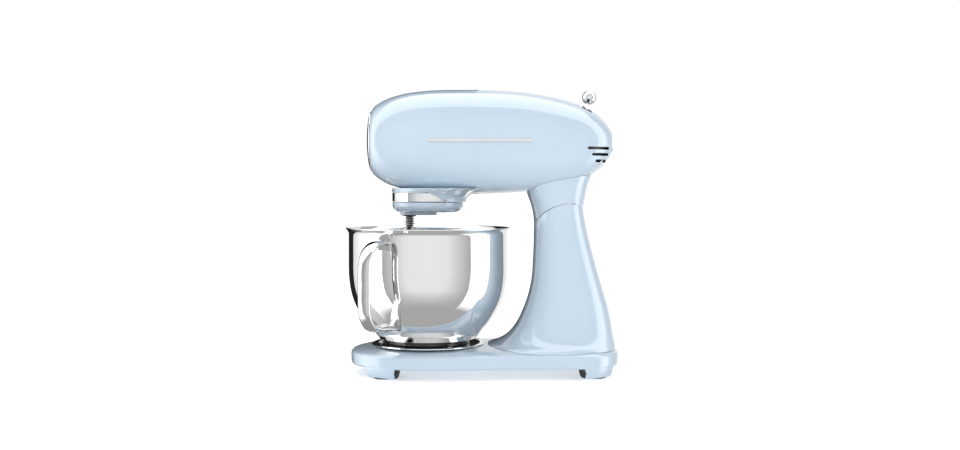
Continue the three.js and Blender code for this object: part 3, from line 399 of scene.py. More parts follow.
def bar(a, b, half_width, span):
    """A flat bar with round ends between two points of the XZ plane."""
    heading = math.atan2(b[1] - a[1], b[0] - a[0])
    outline = []
    for end, start in ((b, -90), (a, 90)):
        for i in range(13):
            angle = heading + math.radians(start + i * 15)
            outline.append((end[0] + half_width * math.cos(angle), end[1] + half_width * math.sin(angle)))
    return prism(outline, span, "y")


# ---------------------------------------------------------------- materials
class Surface:
    """A Principled material whose colour, roughness and bump come from object-space textures."""

    def __init__(self, name, metallic=0.0, **constants):
        self.material = bpy.data.materials.new(name)
        self.material.use_nodes = True
        self.tree = self.material.node_tree
        self.shader = self.tree.nodes["Principled BSDF"]
        self.shader.inputs["Metallic"].default_value = metallic
        for socket, value in constants.items():
            socket = socket.replace("_", " ").title().replace("Ior", "IOR")
            self.shader.inputs[socket].default_value = value
        self.place = self.tree.nodes.new("ShaderNodeTexCoord").outputs["Object"]
        self.height = None

    def node(self, kind, **settings):
        node = self.tree.nodes.new(kind)
        for key, value in settings.items():
            if key in node.inputs:
                node.inputs[key].default_value = value
            else:
                setattr(node, key, value)
        return node

    def link(self, source, target):
        self.tree.links.new(source, target)

    def noise(self, scale, detail=3.0, stretch=(1, 1, 1)):
        """Noise of about 1/scale metres, stretched along the axes."""
        mapping = self.node("ShaderNodeMapping")
        mapping.inputs["Scale"].default_value = stretch
        self.link(self.place, mapping.inputs["Vector"])
        noise = self.node("ShaderNodeTexNoise", Scale=scale, Detail=detail)
        self.link(mapping.outputs["Vector"], noise.inputs["Vector"])
        return noise.outputs["Fac"]

    def ramp(self, factor, *stops):
        """A colour ramp from (place, colour) stops."""
        ramp = self.node("ShaderNodeValToRGB")
        elements = ramp.color_ramp.elements
        while len(elements) < len(stops):
            elements.new(0.5)
        for element, (position, colour) in zip(elements, stops):
            element.position = position
            element.color = (*colour, 1)
        self.link(factor, ramp.inputs["Fac"])
        return ramp.outputs["Color"]

    def colour(self, factor, dark, light, low=0.35, high=0.65):
        self.link(self.ramp(factor, (low, dark), (high, light)), self.shader.inputs["Base Color"])
        return self

    def rough(self, factor, low, high):
        spread = self.node("ShaderNodeMapRange")
        spread.inputs["From Min"].default_value = 0.3
        spread.inputs["From Max"].default_value = 0.7
        spread.inputs["To Min"].default_value = low
        spread.inputs["To Max"].default_value = high
        self.link(factor, spread.inputs["Value"])
        self.link(spread.outputs["Result"], self.shader.inputs["Roughness"])
        return self

    def bump(self, factor, strength, depth):
        """Adds a bump of `depth` millimetres on top of those before it."""
        bump = self.node("ShaderNodeBump", Strength=strength, Distance=depth * MM)
        self.link(factor, bump.inputs["Height"])
        if self.height:
            self.link(self.height, bump.inputs["Normal"])
        self.height = bump.outputs["Normal"]
        self.link(self.height, self.shader.inputs["Normal"])
        return self


def enamel():
    """Pale blue gloss enamel with a faint orange peel under a clear coat."""
    s = Surface("body_enamel", coat_weight=1.0, coat_roughness=0.04, coat_ior=1.5)
    s.colour(s.noise(9, 2), (0.462, 0.577, 0.685), (0.482, 0.592, 0.698))
    s.rough(s.noise(60, 3), 0.3, 0.38)
    s.bump(s.noise(420, 2), 0.05, 0.03)
    s.bump(s.noise(2600, 2), 0.06, 0.006)
    return s.material


def chrome():
    s = Surface("bright_chrome", metallic=1.0)
    s.colour(s.noise(30, 3), (0.78, 0.79, 0.8), (0.86, 0.865, 0.87))
    s.rough(s.noise(90, 4), 0.03, 0.07)
    s.bump(s.noise(700, 2), 0.04, 0.01)
    return s.material


def spun_steel():
    """Polished bowl steel: fine rings left by spinning, and faint wiping marks."""
    s = Surface("polished_spun_steel", metallic=1.0)
    rings = s.noise(60, 4, (0.15, 0.15, 40))
    s.colour(rings, (0.835, 0.835, 0.83), (0.85, 0.85, 0.845))
    s.rough(s.noise(35, 4, (1, 1, 2.5)), 0.04, 0.08)
    s.bump(rings, 0.01, 0.005)
    return s.material


def handle_steel():
    s = Surface("handle_steel", metallic=1.0)
    s.colour(s.noise(45, 3), (0.6, 0.6, 0.6), (0.66, 0.66, 0.66))
    s.rough(s.noise(160, 4, (1, 1, 0.3)), 0.08, 0.13)
    s.bump(s.noise(1500, 3, (1, 1, 0.1)), 0.03, 0.008)
    return s.material


def machined_steel():
    s = Surface("machined_steel", metallic=1.0)
    lines = s.noise(500, 4, (3, 1, 1))
    s.colour(lines, (0.42, 0.43, 0.44), (0.58, 0.59, 0.6))
    s.rough(s.noise(120, 4), 0.24, 0.42)
    s.bump(lines, 0.12, 0.02)
    return s.material


def cast_aluminium():
    s = Surface("cast_aluminium", metallic=1.0)
    s.colour(s.noise(80, 5), (0.52, 0.53, 0.54), (0.68, 0.69, 0.7))
    s.rough(s.noise(300, 4), 0.32, 0.5)
    s.bump(s.noise(1200, 4), 0.25, 0.05)
    return s.material


def rubber():
    s = Surface("foot_rubber", specular_ior_level=0.35)
    s.colour(s.noise(200, 4), (0.012, 0.013, 0.014), (0.03, 0.031, 0.033))
    s.rough(s.noise(500, 4), 0.55, 0.75)
    s.bump(s.noise(1800, 3), 0.3, 0.04)
    return s.material


def black_plastic():
    s = Surface("black_plastic")
    s.colour(s.noise(150, 3), (0.012, 0.014, 0.016), (0.024, 0.026, 0.028))
    s.rough(s.noise(400, 4), 0.32, 0.48)
    s.bump(s.noise(2200, 2), 0.2, 0.02)
    return s.material


def painted_dark_steel():
    """Polished steel painted dark, for the bowl's foot ring and the spindle. On the foot ring the dark colour
    is a painted dark reflection in place of the ring's own bright steel.
    """
    s = Surface("steel_painted_dark", metallic=1.0)
    s.colour(s.noise(60, 4, (1, 1, 8)), (0.03, 0.03, 0.032), (0.075, 0.075, 0.078))
    s.rough(s.noise(120, 4), 0.12, 0.22)
    s.bump(s.noise(900, 3, (1, 1, 4)), 0.05, 0.01)
    return s.material


def sintered_bronze():
    s = Surface("sintered_bronze", metallic=1.0)
    s.colour(s.noise(900, 4), (0.36, 0.22, 0.09), (0.62, 0.41, 0.18))
    s.rough(s.noise(600, 4), 0.35, 0.55)
    s.bump(s.noise(2500, 3), 0.3, 0.03)
    return s.material


def windings():
    """Lacquered copper wire laid along the armature."""
    s = Surface("copper_windings", metallic=0.9, coat_weight=0.4, coat_roughness=0.2)
    strands = s.noise(900, 2, (0.05, 1, 1))
    s.colour(strands, (0.3, 0.1, 0.035), (0.78, 0.38, 0.17))
    s.rough(s.noise(300, 3), 0.25, 0.4)
    s.bump(strands, 0.8, 0.3)
    return s.material


def circuit_board():
    """Green solder mask with copper tracks under it."""
    s = Surface("circuit_board", coat_weight=0.3)
    tracks = s.node("ShaderNodeTexBrick", Scale=180.0)
    s.link(s.place, tracks.inputs["Vector"])
    edges = s.ramp(tracks.outputs["Fac"], (0.4, (0.012, 0.09, 0.04)), (0.6, (0.06, 0.24, 0.1)))
    s.link(edges, s.shader.inputs["Base Color"])
    s.rough(s.noise(300, 3), 0.3, 0.45)
    s.bump(tracks.outputs["Fac"], 0.2, 0.05)
    return s.material


FINISH = {
    "body": enamel(),
    "chrome": chrome(),
    "polished_steel": handle_steel(),
    "steel": machined_steel(),
    "cast_aluminium": cast_aluminium(),
    "rubber": rubber(),
    "black_plastic": black_plastic(),
    "bronze": sintered_bronze(),
    "windings": windings(),
    "circuit_board": circuit_board(),
}
SPUN_STEEL = spun_steel()
PAINTED_DARK_STEEL = painted_dark_steel()


def dress_cad_nodes():
    """Gives every carried-over CAD node the finish of its own slot."""
    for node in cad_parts.values():
        for i, material in enumerate(node.data.materials):
            node.data.materials[i] = FINISH[material.name.split(".")[0]]


def piece(obj, name, body, slot, *nodes, material=None, sharp=SHARP_ANGLE, bevel=0.0):
    """Names a form, gives it its finish and lets it ride on its body in place of the CAD nodes."""
    obj.name = name
    obj.data.name = name
    obj.data.materials.clear()
    obj.data.materials.append(material or FINISH[slot])
    obj.data.shade_smooth()
    obj.data.set_sharp_from_angle(angle=sharp)
    if bevel:
        edges = obj.modifiers.new("edges", "BEVEL")
        edges.width = bevel * MM
        edges.segments = 3
        edges.angle_limit = math.radians(50)
    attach(obj, body)
    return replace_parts(obj, *nodes) if nodes else obj


# ---------------------------------------------------------------- shared forms
def head_form(inset=0, sides=SIDES, steps=STEPS):
    front, rear = HEAD[0][0], HEAD[-1][0]
    middle = (front + rear) / 2
    shrink = 1 - 2 * inset / (rear - front)
    rings = []
    for x, top, bottom, half, upper, lower in through(HEAD, steps):
        centre, tall = (top + bottom) / 2, (top - bottom) / 2 - inset
        outline = superellipse(half - inset, tall, upper, lower, sides)
        rings.append([(middle + (x - middle) * shrink, y, centre + z) for y, z in outline])
    return loft(rings)


def column_form(rows, inset=0, sides=SIDES):
    rings = []
    for z, front, rear, half in through(rows):
        half_x, half_y = (rear - front) / 2 - inset, half - inset
        outline = superellipse(half_x, half_y, COLUMN_SQUARENESS, COLUMN_SQUARENESS, sides)
        rings.append([((front + rear) / 2 + x, y, z) for x, y in outline])
    return loft(rings)


BASE_LENGTH = BASE_OUTLINE[-1][0] - BASE_OUTLINE[0][0]
BASE_MIDDLE = BASE_OUTLINE[0][0] + BASE_LENGTH / 2
BASE_HALF = max(y for _, y in BASE_OUTLINE)


def base_outline(steps=10):
    """The whole outline of the base, drawn through its half outline and the half's mirror."""
    mirrored = [(x, -y) for x, y in BASE_OUTLINE[-2:0:-1]]
    loop = [*BASE_OUTLINE, *mirrored]
    wrapped = [*loop[-3:], *loop, *loop[:4]]
    curve = through(wrapped, steps)
    return curve[3 * steps:-3 * steps - 1]


def base_form(rows):
    outline = base_outline()
    rings = []
    for z, inset in rows:
        along, across = 1 - 2 * inset / BASE_LENGTH, 1 - inset / BASE_HALF
        rings.append([(BASE_MIDDLE + (x - BASE_MIDDLE) * along, y * across, z) for x, y in outline])
    return loft(rings)


def arm_form(angle, grow=0.0):
    """The neck's arm and its eye round the hinge pin."""
    half_width, half_thick = ARM["half_width"] + grow, ARM["half_thick"] + grow
    arm = block((HINGE[0], HINGE[0] + ARM["reach"] + 2 * grow), (-half_thick, half_thick),
                (HINGE[1] - half_width, HINGE[1] + half_width))
    turn_about(arm, "Y", -angle, (HINGE[0], 0, HINGE[1]))
    return join(arm, rod(ARM["eye"] + grow, (-half_thick, half_thick), "y", HINGE))


def lever_block(half_along, half_across):
    """A block across the speed lever's slot, leaning back with the head's top."""
    x, z = LEVER["x"], LEVER["z"]
    shape = block((x - half_along, x + half_along), (-half_across, half_across), (z + 35, z + 85))
    return turn_about(shape, "Y", LEVER["lean"], (x, 0, z))


def keeper_form(grow=0.0):
    x, z = HINGE
    near, far = KEEPER["side"]
    half = KEEPER["half"] + grow
    shape = block((x + KEEPER["foot"] - grow, x + KEEPER["tip"] + grow), (near - grow, far + grow),
                  (z - half, z + half))
    return turn_about(shape, "Y", -KEEPER["angle"], (x, 0, z))


# ---------------------------------------------------------------- stand
def skirt_form(x, y, grow=0.0):
    """The leg round a foot: it narrows a little toward the worktop."""
    rings = []
    for z, taper in SKIRT_TAPER:
        half_x, half_y = (half - taper + grow for half in SKIRT_HALF)
        outline = superellipse(half_x, half_y, SKIRT_SQUARENESS, SKIRT_SQUARENESS)
        rings.append([(x + u, y + v, z) for u, v in outline])
    return loft(rings)


def build_base():
    hollow = base_form([(0, BASE_WALL), (BASE_CAVITY_TOP, BASE_WALL + 2)])
    body = cut(base_form(eased(BASE_SIDE, BASE_EASE)), hollow)
    for x, y in FEET.values():
        pad = join(body, common(base_form(through(SKIRT_SIDE)), skirt_form(x, y)))
        body = cut(pad, rod(FOOT_RADIUS + GAP, (-1, FOOT_HEIGHT + GAP), "z", (x, y)))
    piece(body, "base_fine", "stand", "body", "base_casting", bevel=0.5)
    for place, (x, y) in FEET.items():
        inward = FOOT_LIP if x < 0 else -FOOT_LIP
        lip = common(base_form(FOOT_LIP_SIDE), skirt_form(x + inward, y))
        lip = cut(lip, skirt_form(x, y, GAP))
        profile = eased([(0, 0), (FOOT_RADIUS, 0), (FOOT_RADIUS, FOOT_HEIGHT), (0, FOOT_HEIGHT)], 1)
        tread = turned(profile, centre=(x, y))
        piece(tread, f"foot_{place}_fine", "stand", "rubber", f"foot_{place}")
        piece(lip, f"foot_lip_{place}", "stand", "rubber")


def build_column():
    below = block(ALONG, ACROSS, (0, SPLIT_FRONT_Z - SPLIT_GAP))
    rounded = rod(SPLIT_RADIUS, ACROSS, "y", HINGE, SPLIT_SIDES)
    outside = common(column_form(COLUMN), join(below, rounded))
    cavity = column_form(COLUMN[1:-2], COLUMN_WALL, INNER_SIDES)
    half = ARM["half_thick"] + ARM_CLEARANCE
    swept = sector(ARM["reach"] + 2, ARM["angle"] - TILT, ARM["angle"])
    arm_path = prism([*swept, HINGE], (-half, half), "y")
    body = cut(
        outside,
        cavity,
        base_form([(0, -GAP), *[(z + GAP, inset - GAP) for z, inset in eased(BASE_SIDE, BASE_EASE)]]),
        arm_path,
        arm_form(ARM["angle"], ARM_CLEARANCE),
        arm_form(ARM["angle"] - TILT, ARM_CLEARANCE),
        rod(PIN_HOLE, (-41, 100), "y", HINGE),
        keeper_form(GAP),
        rod(GLAND["radius"] + GAP, (225, 260), "x", GLAND["place"]),
    )
    piece(body, "column_fine", "stand", "body", "column_casting", bevel=0.3)
    bore, radius, start, end = GLAND["bore"], GLAND["radius"], GLAND["front"], GLAND["rear"]
    gland = eased([
        (bore, start), (radius, start), (radius, end - 1.1), (radius - 0.8, end), (bore, end), (bore, start),
    ], 0.6)
    piece(turned(gland, "x", GLAND["place"]), "cord_gland_fine", "stand", "rubber", "cord_gland")


def build_plate():
    lip = eased([
        (0, PLATE_BOTTOM), (PLATE_RADIUS - 0.6, PLATE_BOTTOM), (PLATE_RADIUS, PLATE_BOTTOM + 0.6),
        (PLATE_RADIUS - 1.6, PLATE_TOP), (PLATE_RADIUS - 9, PLATE_TOP), (PLATE_RADIUS - 10, PLATE_TOP - 0.5),
        (0, PLATE_TOP - 0.5),
    ], 0.5)
    piece(turned(lip, sides=ROUND_SIDES), "bowl_plate_fine", "stand", "chrome", "bowl_plate")
    screw = [(0, 39.6), (3.4, 39.6), (3.3, 40.4), (2.4, 41.1), (0, 41.3)]
    slot_long, slot_wide, slot_z = 2.6, 0.4, (40.7, 42)
    for i in range(PLATE_SCREWS):
        turn = math.pi / PLATE_SCREWS * (1 + 2 * i)
        x, y = PLATE_SCREW_CIRCLE * math.cos(turn), PLATE_SCREW_CIRCLE * math.sin(turn)
        head = turned(screw, centre=(x, y), sides=32)
        slot = block((x - slot_long, x + slot_long), (y - slot_wide, y + slot_wide), slot_z)
        cross = block((x - slot_wide, x + slot_wide), (y - slot_long, y + slot_long), slot_z)
        piece(cut(head, slot, cross), f"plate_screw_{i + 1}", "stand", "steel")


# ---------------------------------------------------------------- head
def build_neck():
    under = join(
        block(ALONG, ACROSS, (150, SPLIT_FRONT_Z + SPLIT_GAP)),
        rod(SPLIT_RADIUS + SPLIT_GAP, (-101, 101), "y", HINGE, SPLIT_SIDES),
    )
    floor = rod(SPLIT_RADIUS + 6, ACROSS, "y", HINGE, SPLIT_SIDES)
    cavity = cut(column_form(NECK, NECK_WALL, INNER_SIDES), floor)
    shell = cut(column_form(NECK), cavity, under, head_form(-GAP))
    swing = (KEEPER["angle"] + TILT + 6, KEEPER["angle"] - 6)
    keeper_path = prism(
        [*sector(SPLIT_RADIUS - 3, *swing), *sector(KEEPER["tip"] + 1.4, *swing[::-1])],
        (KEEPER["side"][0] - 1, KEEPER["side"][1] + 1), "y",
    )
    body = cut(join(shell, arm_form(ARM["angle"])), keeper_path, rod(BUSH_HOLE, (-20, 20), "y", HINGE))
    piece(body, "neck_fine", "head", "body", "neck_casting", bevel=0.3)


def boss_ring(z, centre, half_x, half_y):
    return [(centre + half_x * c, half_y * s, z) for c, s in circle(1)]


def build_head():
    front_view = prism([
        (-90, 200), (-90, BOSS_FLOOR), (3, BOSS_FLOOR), (30, RING_BOTTOM), (30, 200),
    ], (-80, 80), "y")
    boss = cut(loft([boss_ring(*row) for row in through(BOSS)]), front_view)
    floor = common(head_form(), block((-80, 92), (-80, 80), (240, 255)))
    lining = cut(join(boss, floor), head_form(HEAD_WALL, INNER_SIDES, 3))
    vents = [
        bar((front + VENT_HALF, z), (rear - VENT_HALF, z), VENT_HALF, (-80, 80)) for z, front, rear in VENTS
    ]
    shell = cut(
        join(head_form(), lining),
        head_form(HEAD_WALL, INNER_SIDES, 3),
        rod(RING_OUTER + GAP, (200, BOSS_FLOOR), "z", sides=SIDES),
        rod(20, (230, 260), "z"),
        rod(HUB_OPENING, (-90, -60), "x", (0, HUB_Z)),
        rod(BUTTON["radius"] + 0.5, (230, 260), "x", (0, BUTTON["z"])),
        block((148, 214), (-24, 24), (230, 275)),  # the way through to the neck
        lever_block(*LEVER_SLOT),
        *vents,
    )
    piece(shell, "head_shell_fine", "head", "body", "head_shell", bevel=0.35)
    gate = common(head_form(), lever_block(*(half - GAP for half in LEVER_SLOT)))
    gate = cut(gate, head_form(2.5), lever_block(*LEVER_GATE))
    piece(gate, "lever_gate_fine", "head", "black_plastic", "lever_gate")
    for side, span in (("near", (-80, -20)), ("far", (20, 80))):
        # A thin black sheet just inside each row of vents is painted shade: it stands in for the dark inside
        # of the head behind the slots.
        shade_sheet = cut(head_form(HEAD_WALL + GAP), head_form(HEAD_WALL + 1.2))
        shade_sheet = common(shade_sheet, block((202, 236), span, (277, 304)))
        piece(shade_sheet, f"vent_shade_sheet_{side}", "head", "black_plastic")
        strip = common(cut(head_form(-TRIM["thick"]), head_form(-GAP)), block(TRIM["x"], span, TRIM["z"]))
        piece(strip, f"trim_strip_{side}_fine", "head", "chrome", f"trim_strip_{side}", bevel=0.25)
    # A plate behind the vents keeps the light of the far side out of them.
    baffle = common(head_form(HEAD_WALL + GAP), block((200, 242), (-10, -8.5), (272, 303)))
    piece(baffle, "vent_baffle", "head", "black_plastic")
    ring = eased([
        (RING_INNER, RING_BOTTOM), (RING_OUTER, RING_BOTTOM), (RING_OUTER, RING_TOP), (RING_INNER, RING_TOP),
        (RING_INNER, RING_BOTTOM),
    ], 0.7)
    piece(turned(ring, sides=ROUND_SIDES), "planetary_ring_fine", "head", "chrome", "planetary_ring")


def build_hub_cap():
    seat = HEAD[0][0] - GAP
    edge = HUB_CAP_RADIUS
    dome = through([
        (0, seat - 5.4), (14, seat - 5.1), (28, seat - 3.7), (edge - 2.1, seat - 1.8),
        (edge - 0.2, seat - 0.9),
    ])
    back = eased([
        (edge, seat - 0.6), (edge, seat), (26.6, seat), (26.6, seat + 8), (24.6, seat + 8),
        (24.6, seat - 1.6), (0, seat - 2.6),
    ], 0.4)
    piece(turned([*dome, *back], "x", (0, HUB_Z)), "hub_cap_fine", "hub_cap", "chrome", "hub_cap")


def build_button():
    radius, stem, front = BUTTON["radius"], BUTTON["stem"], BUTTON["stem_front"]
    back, face = BUTTON["back"], BUTTON["face"]
    profile = eased([
        (0, front), (stem, front), (stem, back), (radius - 0.5, back), (radius, back + 0.5),
        (radius, face - 1.4), (radius - 1.2, face - 0.4), (radius - 4, face), (0, face - 0.2),
    ], 0.8)
    piece(turned(profile, "x", (0, BUTTON["z"])), "release_button_fine", "button", "chrome", "release_button")


def leaned(obj):
    """Swings a part of the speed lever to its rest place and leans it back."""
    pivot = (LEVER["x"], 0, LEVER["z"])
    turn_about(obj, "X", -LEVER["rest"], pivot)
    return turn_about(obj, "Y", LEVER["lean"], pivot)


def build_lever():
    x, z, length = LEVER["x"], LEVER["z"], LEVER["length"]
    radius, ball_radius = LEVER["stem"], LEVER["ball"]
    top = z + length
    stem = turned([
        (0, z + 4), (radius, z + 4), (radius, z + 56), (2.3, z + 56.4), (2.3, z + 60), (radius, z + 60.6),
        (radius, top - 2), (0, top - 1),
    ], centre=(x, 0), sides=32)
    collar = cut(rod(6, (x - 2.6, x + 2.6), "x", (0, z)), rod(3.3, (x - 9, x + 9), "x", (0, z), 32))
    piece(leaned(join(stem, collar)), "speed_lever_fine", "lever", "chrome", "speed_lever")
    ball = []
    steps = 32
    for i in range(steps + 1):
        angle = math.pi * (i / steps - 0.5)
        at_axis = i in (0, steps)
        ball.append((0 if at_axis else ball_radius * math.cos(angle), top + ball_radius * math.sin(angle)))
    seat = rod(radius + GAP, (top - 20, top + GAP), "z", (x, 0), 32)
    low, high = top - 0.35, top + 0.35
    inside, outside = ball_radius - 0.25, ball_radius + 0.75
    groove = turned(eased([
        (inside, low), (outside, low), (outside, high), (inside, high), (inside, low),
    ], 0.1), centre=(x, 0))
    knob = cut(turned(ball, centre=(x, 0)), seat, groove)
    piece(leaned(knob), "lever_knob_fine", "lever", "chrome", "lever_knob")


# ---------------------------------------------------------------- planetary drive
def build_carrier():
    dish = [
        (0, CARRIER_BOTTOM), (34, CARRIER_BOTTOM),
        *through([(36, 215.1), (40.5, 215.8), (44, 217.7), (46.5, 220.8), (RING_OUTER, 224.8)], 4),
        (RING_OUTER, CARRIER_TOP - 0.5), (RING_OUTER - 0.6, CARRIER_TOP), (0, CARRIER_TOP),
    ]
    stadium = []
    for x, start in ((-ORBIT, 90), (0, -90)):
        for i in range(25):
            turn = math.radians(start + 7.5 * i)
            stadium.append((x, math.cos(turn), math.sin(turn)))
    levels = [
        (CARRIER_BOTTOM + 1, CARRIER_BOSS), (212.2, CARRIER_BOSS), (211.4, CARRIER_BOSS - 0.3),
        (211, CARRIER_BOSS - 1),
    ]
    step = loft([[(x + r * c, r * s, z) for x, c, s in stadium] for z, r in levels])
    body = cut(
        join(turned(dish, sides=ROUND_SIDES), step),
        rod(6.3, (215.7, 260), "z"),
        rod(8, (200, 260), "z", (-ORBIT, 0)),
    )
    piece(body, "planetary_carrier_fine", "planetary", "body", "planetary_carrier")


def build_spindle():
    radius, bottom, collar, top = (SPINDLE[key] for key in ("radius", "bottom", "collar", "top"))
    flange = [(5.4, collar - 1.1), (8.2, collar - 1.1), (9.5, collar - 0.7), (8.5, collar)]
    profile = [
        (0, bottom), (radius - 1, bottom), (radius, bottom + 1), (radius, collar - 1.2), *through(flange, 3),
        (radius, collar), (radius, top), (0, top),
    ]
    pin_hole = rod(2.3, (-20, 20), "y", (-ORBIT, SPINDLE["pin_z"]), 32)
    spindle = cut(turned(profile, centre=(-ORBIT, 0), sides=INNER_SIDES), pin_hole)
    piece(spindle, "spindle_fine", "planet", "polished_steel", "spindle", material=PAINTED_DARK_STEEL)
    coil, wire, turns = SPRING["coil"], SPRING["wire"], SPRING["turns"]
    low, high = SPRING["bottom"] + wire, SPRING["top"] - wire
    rings = []
    per_turn = 36
    for i in range(turns * per_turn + 1):
        turn = 2 * math.pi * i / per_turn
        z = low + (high - low) * i / (turns * per_turn)
        c, s = math.cos(turn), math.sin(turn)
        rings.append([((coil + u) * c - ORBIT, (coil + u) * s, z + v) for u, v in circle(wire, 12)])
    spring = piece(loft(rings), "spindle_spring_fine", "planet", "steel", "spindle_spring")
    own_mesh(spring)


def build_beater():
    bottom, top, thick, hub_radius = (BEATER[key] for key in ("bottom", "top", "half_thick", "hub"))
    hub_top = BEATER["hub_top"]
    half = [
        (0, bottom), (20, bottom + 1), (35, bottom + 10), (46, bottom + 28), (54, bottom + 52),
        (58, bottom + 76), (52, top - 12), (34, top - 3), (0, top),
    ]
    loop = [*half, *[(-x, z) for x, z in half[-2:0:-1]]]
    wrapped = through([*loop[-3:], *loop, *loop[:4]])
    outline = wrapped[3 * STEPS:-3 * STEPS - 1]
    middle = (bottom + top) / 2
    slab = (-thick, thick)
    window = [(x * 0.8, middle + (z - middle) * 0.84) for x, z in outline]
    frame_form = cut(prism(outline, slab, "y"), prism(window, (-20, 20), "y"))
    bars = [bar((0, bottom + 4), (0, top - 2), 4.5, slab)]
    for side in (-1, 1):
        bars += [bar((side * 60, low), (0, low + 38), 4, slab) for low in (80, 112)]
    bars = common(join(*bars), prism(outline, slab, "y"))
    hub = turned([
        (0, 160), (hub_radius - 1.4, 160), (hub_radius, 161.4), (hub_radius, hub_top - 0.8),
        (hub_radius - 0.8, hub_top), (0, hub_top),
    ], sides=INNER_SIDES)
    bore = rod(SPINDLE["radius"] + GAP, (170, 200), "z")
    pin_slot = block((-2.4, 2.4), (-20, 20), (SPINDLE["pin_z"] - 8, 200))
    hub = cut(hub, bore, pin_slot)
    ear = block((hub_radius - 1.5, hub_radius + 4), (-3, 3), (hub_top - 4, hub_top - 0.4))
    whole = shift(join(frame_form, bars, hub, ear), x=-ORBIT)
    piece(whole, "flat_beater_fine", "beater", "cast_aluminium", "flat_beater", bevel=0.9)


# ---------------------------------------------------------------- bowl
def build_bowl():
    outer = through(BOWL, 6)
    flange = through([BOWL[-1], *RIM, (BOWL[-1][0] - BOWL_WALL, BOWL[-1][1])], 4)
    inner = [(r - BOWL_WALL, z + 0.2) for r, z in outer[::-1]]
    floor = BOWL[0][1]
    profile = [(0, floor + 0.6), (40, floor + 0.4), (62, floor), *outer, *flange[1:-1], *inner[1:-1],
               (64, floor + BOWL_WALL + 0.2), (0, floor + BOWL_WALL + 0.8)]
    piece(turned(profile, sides=192), "bowl_fine", "bowl", "polished_steel", "bowl", material=SPUN_STEEL)
    inside, outside, low, high = (BOWL_FOOT[key] for key in ("inner", "outer", "bottom", "top"))
    foot = eased([(inside, low), (outside, low), (outside, high), (inside, high), (inside, low)], 0.5)
    foot = turned(foot, sides=128)
    # The foot ring's near-black colour is a painted dark reflection; the ring itself is polished steel.
    piece(foot, "bowl_foot_fine", "bowl", "polished_steel", "bowl_foot", material=PAINTED_DARK_STEEL)


def build_handle():
    section = superellipse(*HANDLE_HALF, 2.6, 2.6, 32)
    grip = sweep(through(HANDLE_PATH, 6), section)
    half, low, high = HANDLE_HALF[0], HANDLE_TAB["bottom"], HANDLE_TAB["top"]
    tab = [(-half, low), (half, low)]
    tab += [(half * math.cos(a), high - half + half * math.sin(a)) for a in np.linspace(0, math.pi, 17)]
    tab = prism(tab, (103, HANDLE_TAB["face"]), "x")
    inside = turned([
        (0, 39), (66, 39), *[(r + GAP, z) for r, z in through([*BOWL, *RIM[:2]], 6)], (0, 200),
    ], sides=192)
    handle = turn_about(cut(join(grip, tab), inside), "Z", HANDLE_AZIMUTH)
    piece(handle, "bowl_handle_fine", "bowl", "polished_steel", "bowl_handle", bevel=0.3)


# ---------------------------------------------------------------- stage, light and camera
WHITE = (1, 1, 1)


def build_floor():
    """A plain pale floor, bright enough to fade into the white behind it."""
    half = 40_000
    corners = [(-half, -half, 0), (half, -half, 0), (half, half, 0), (-half, half, 0)]
    mesh = bpy.data.meshes.new("floor")
    mesh.from_pydata([at(c) for c in corners], [], [(0, 1, 2, 3)])
    floor = bpy.data.objects.new("floor", mesh)
    bpy.context.scene.collection.objects.link(floor)
    surface = Surface("floor_pale")
    surface.colour(surface.noise(3, 2), (0.8, 0.8, 0.8), (0.82, 0.82, 0.82))
    surface.shader.inputs["Roughness"].default_value = 0.9
    surface.shader.inputs["Specular IOR Level"].default_value = 0.0
    surface.shader.inputs["Emission Color"].default_value = (*WHITE, 1)
    surface.shader.inputs["Emission Strength"].default_value = FLOOR_LEVEL
    mesh.materials.append(surface.material)
    floor.visible_glossy = False  # the studio's own panels go on below the horizon


# Brightness of the studio. Ahead of the object it goes by the angle from straight ahead, as a share of
# a half turn: a dim room seen through a ring of bright panels. Behind it goes by the turn toward +X.
PANEL_LEVEL = 3.2
STUDIO_AHEAD = [(0, 0.95), (0.17, 0.92), (0.37, 0.45), (0.374, PANEL_LEVEL), (0.6, PANEL_LEVEL)]
STUDIO_BEHIND = [
    (-0.5, 0.02), (-0.375, 0.02), (-0.373, 0.8), (-0.27, 1.4), (0.27, 1.4), (0.275, 0.62),
    (0.39, 0.42), (0.392, 0.9), (0.5, 0.9),
]
STUDIO_SPLIT = 0.22  # how far behind the object's own plane, as part of a unit direction, "behind" starts
CEILING = (0.76, 0.8)  # upward part of a unit direction over which the part behind turns to the panels
DOWNWARD = (-0.35, -0.75)  # downward part over which the studio turns to the floor's grey
FLOOR_LEVEL = 0.45
DOME_LEVEL = 0.94  # the even light that falls on everything
BACKDROP_LEVEL = 1.02


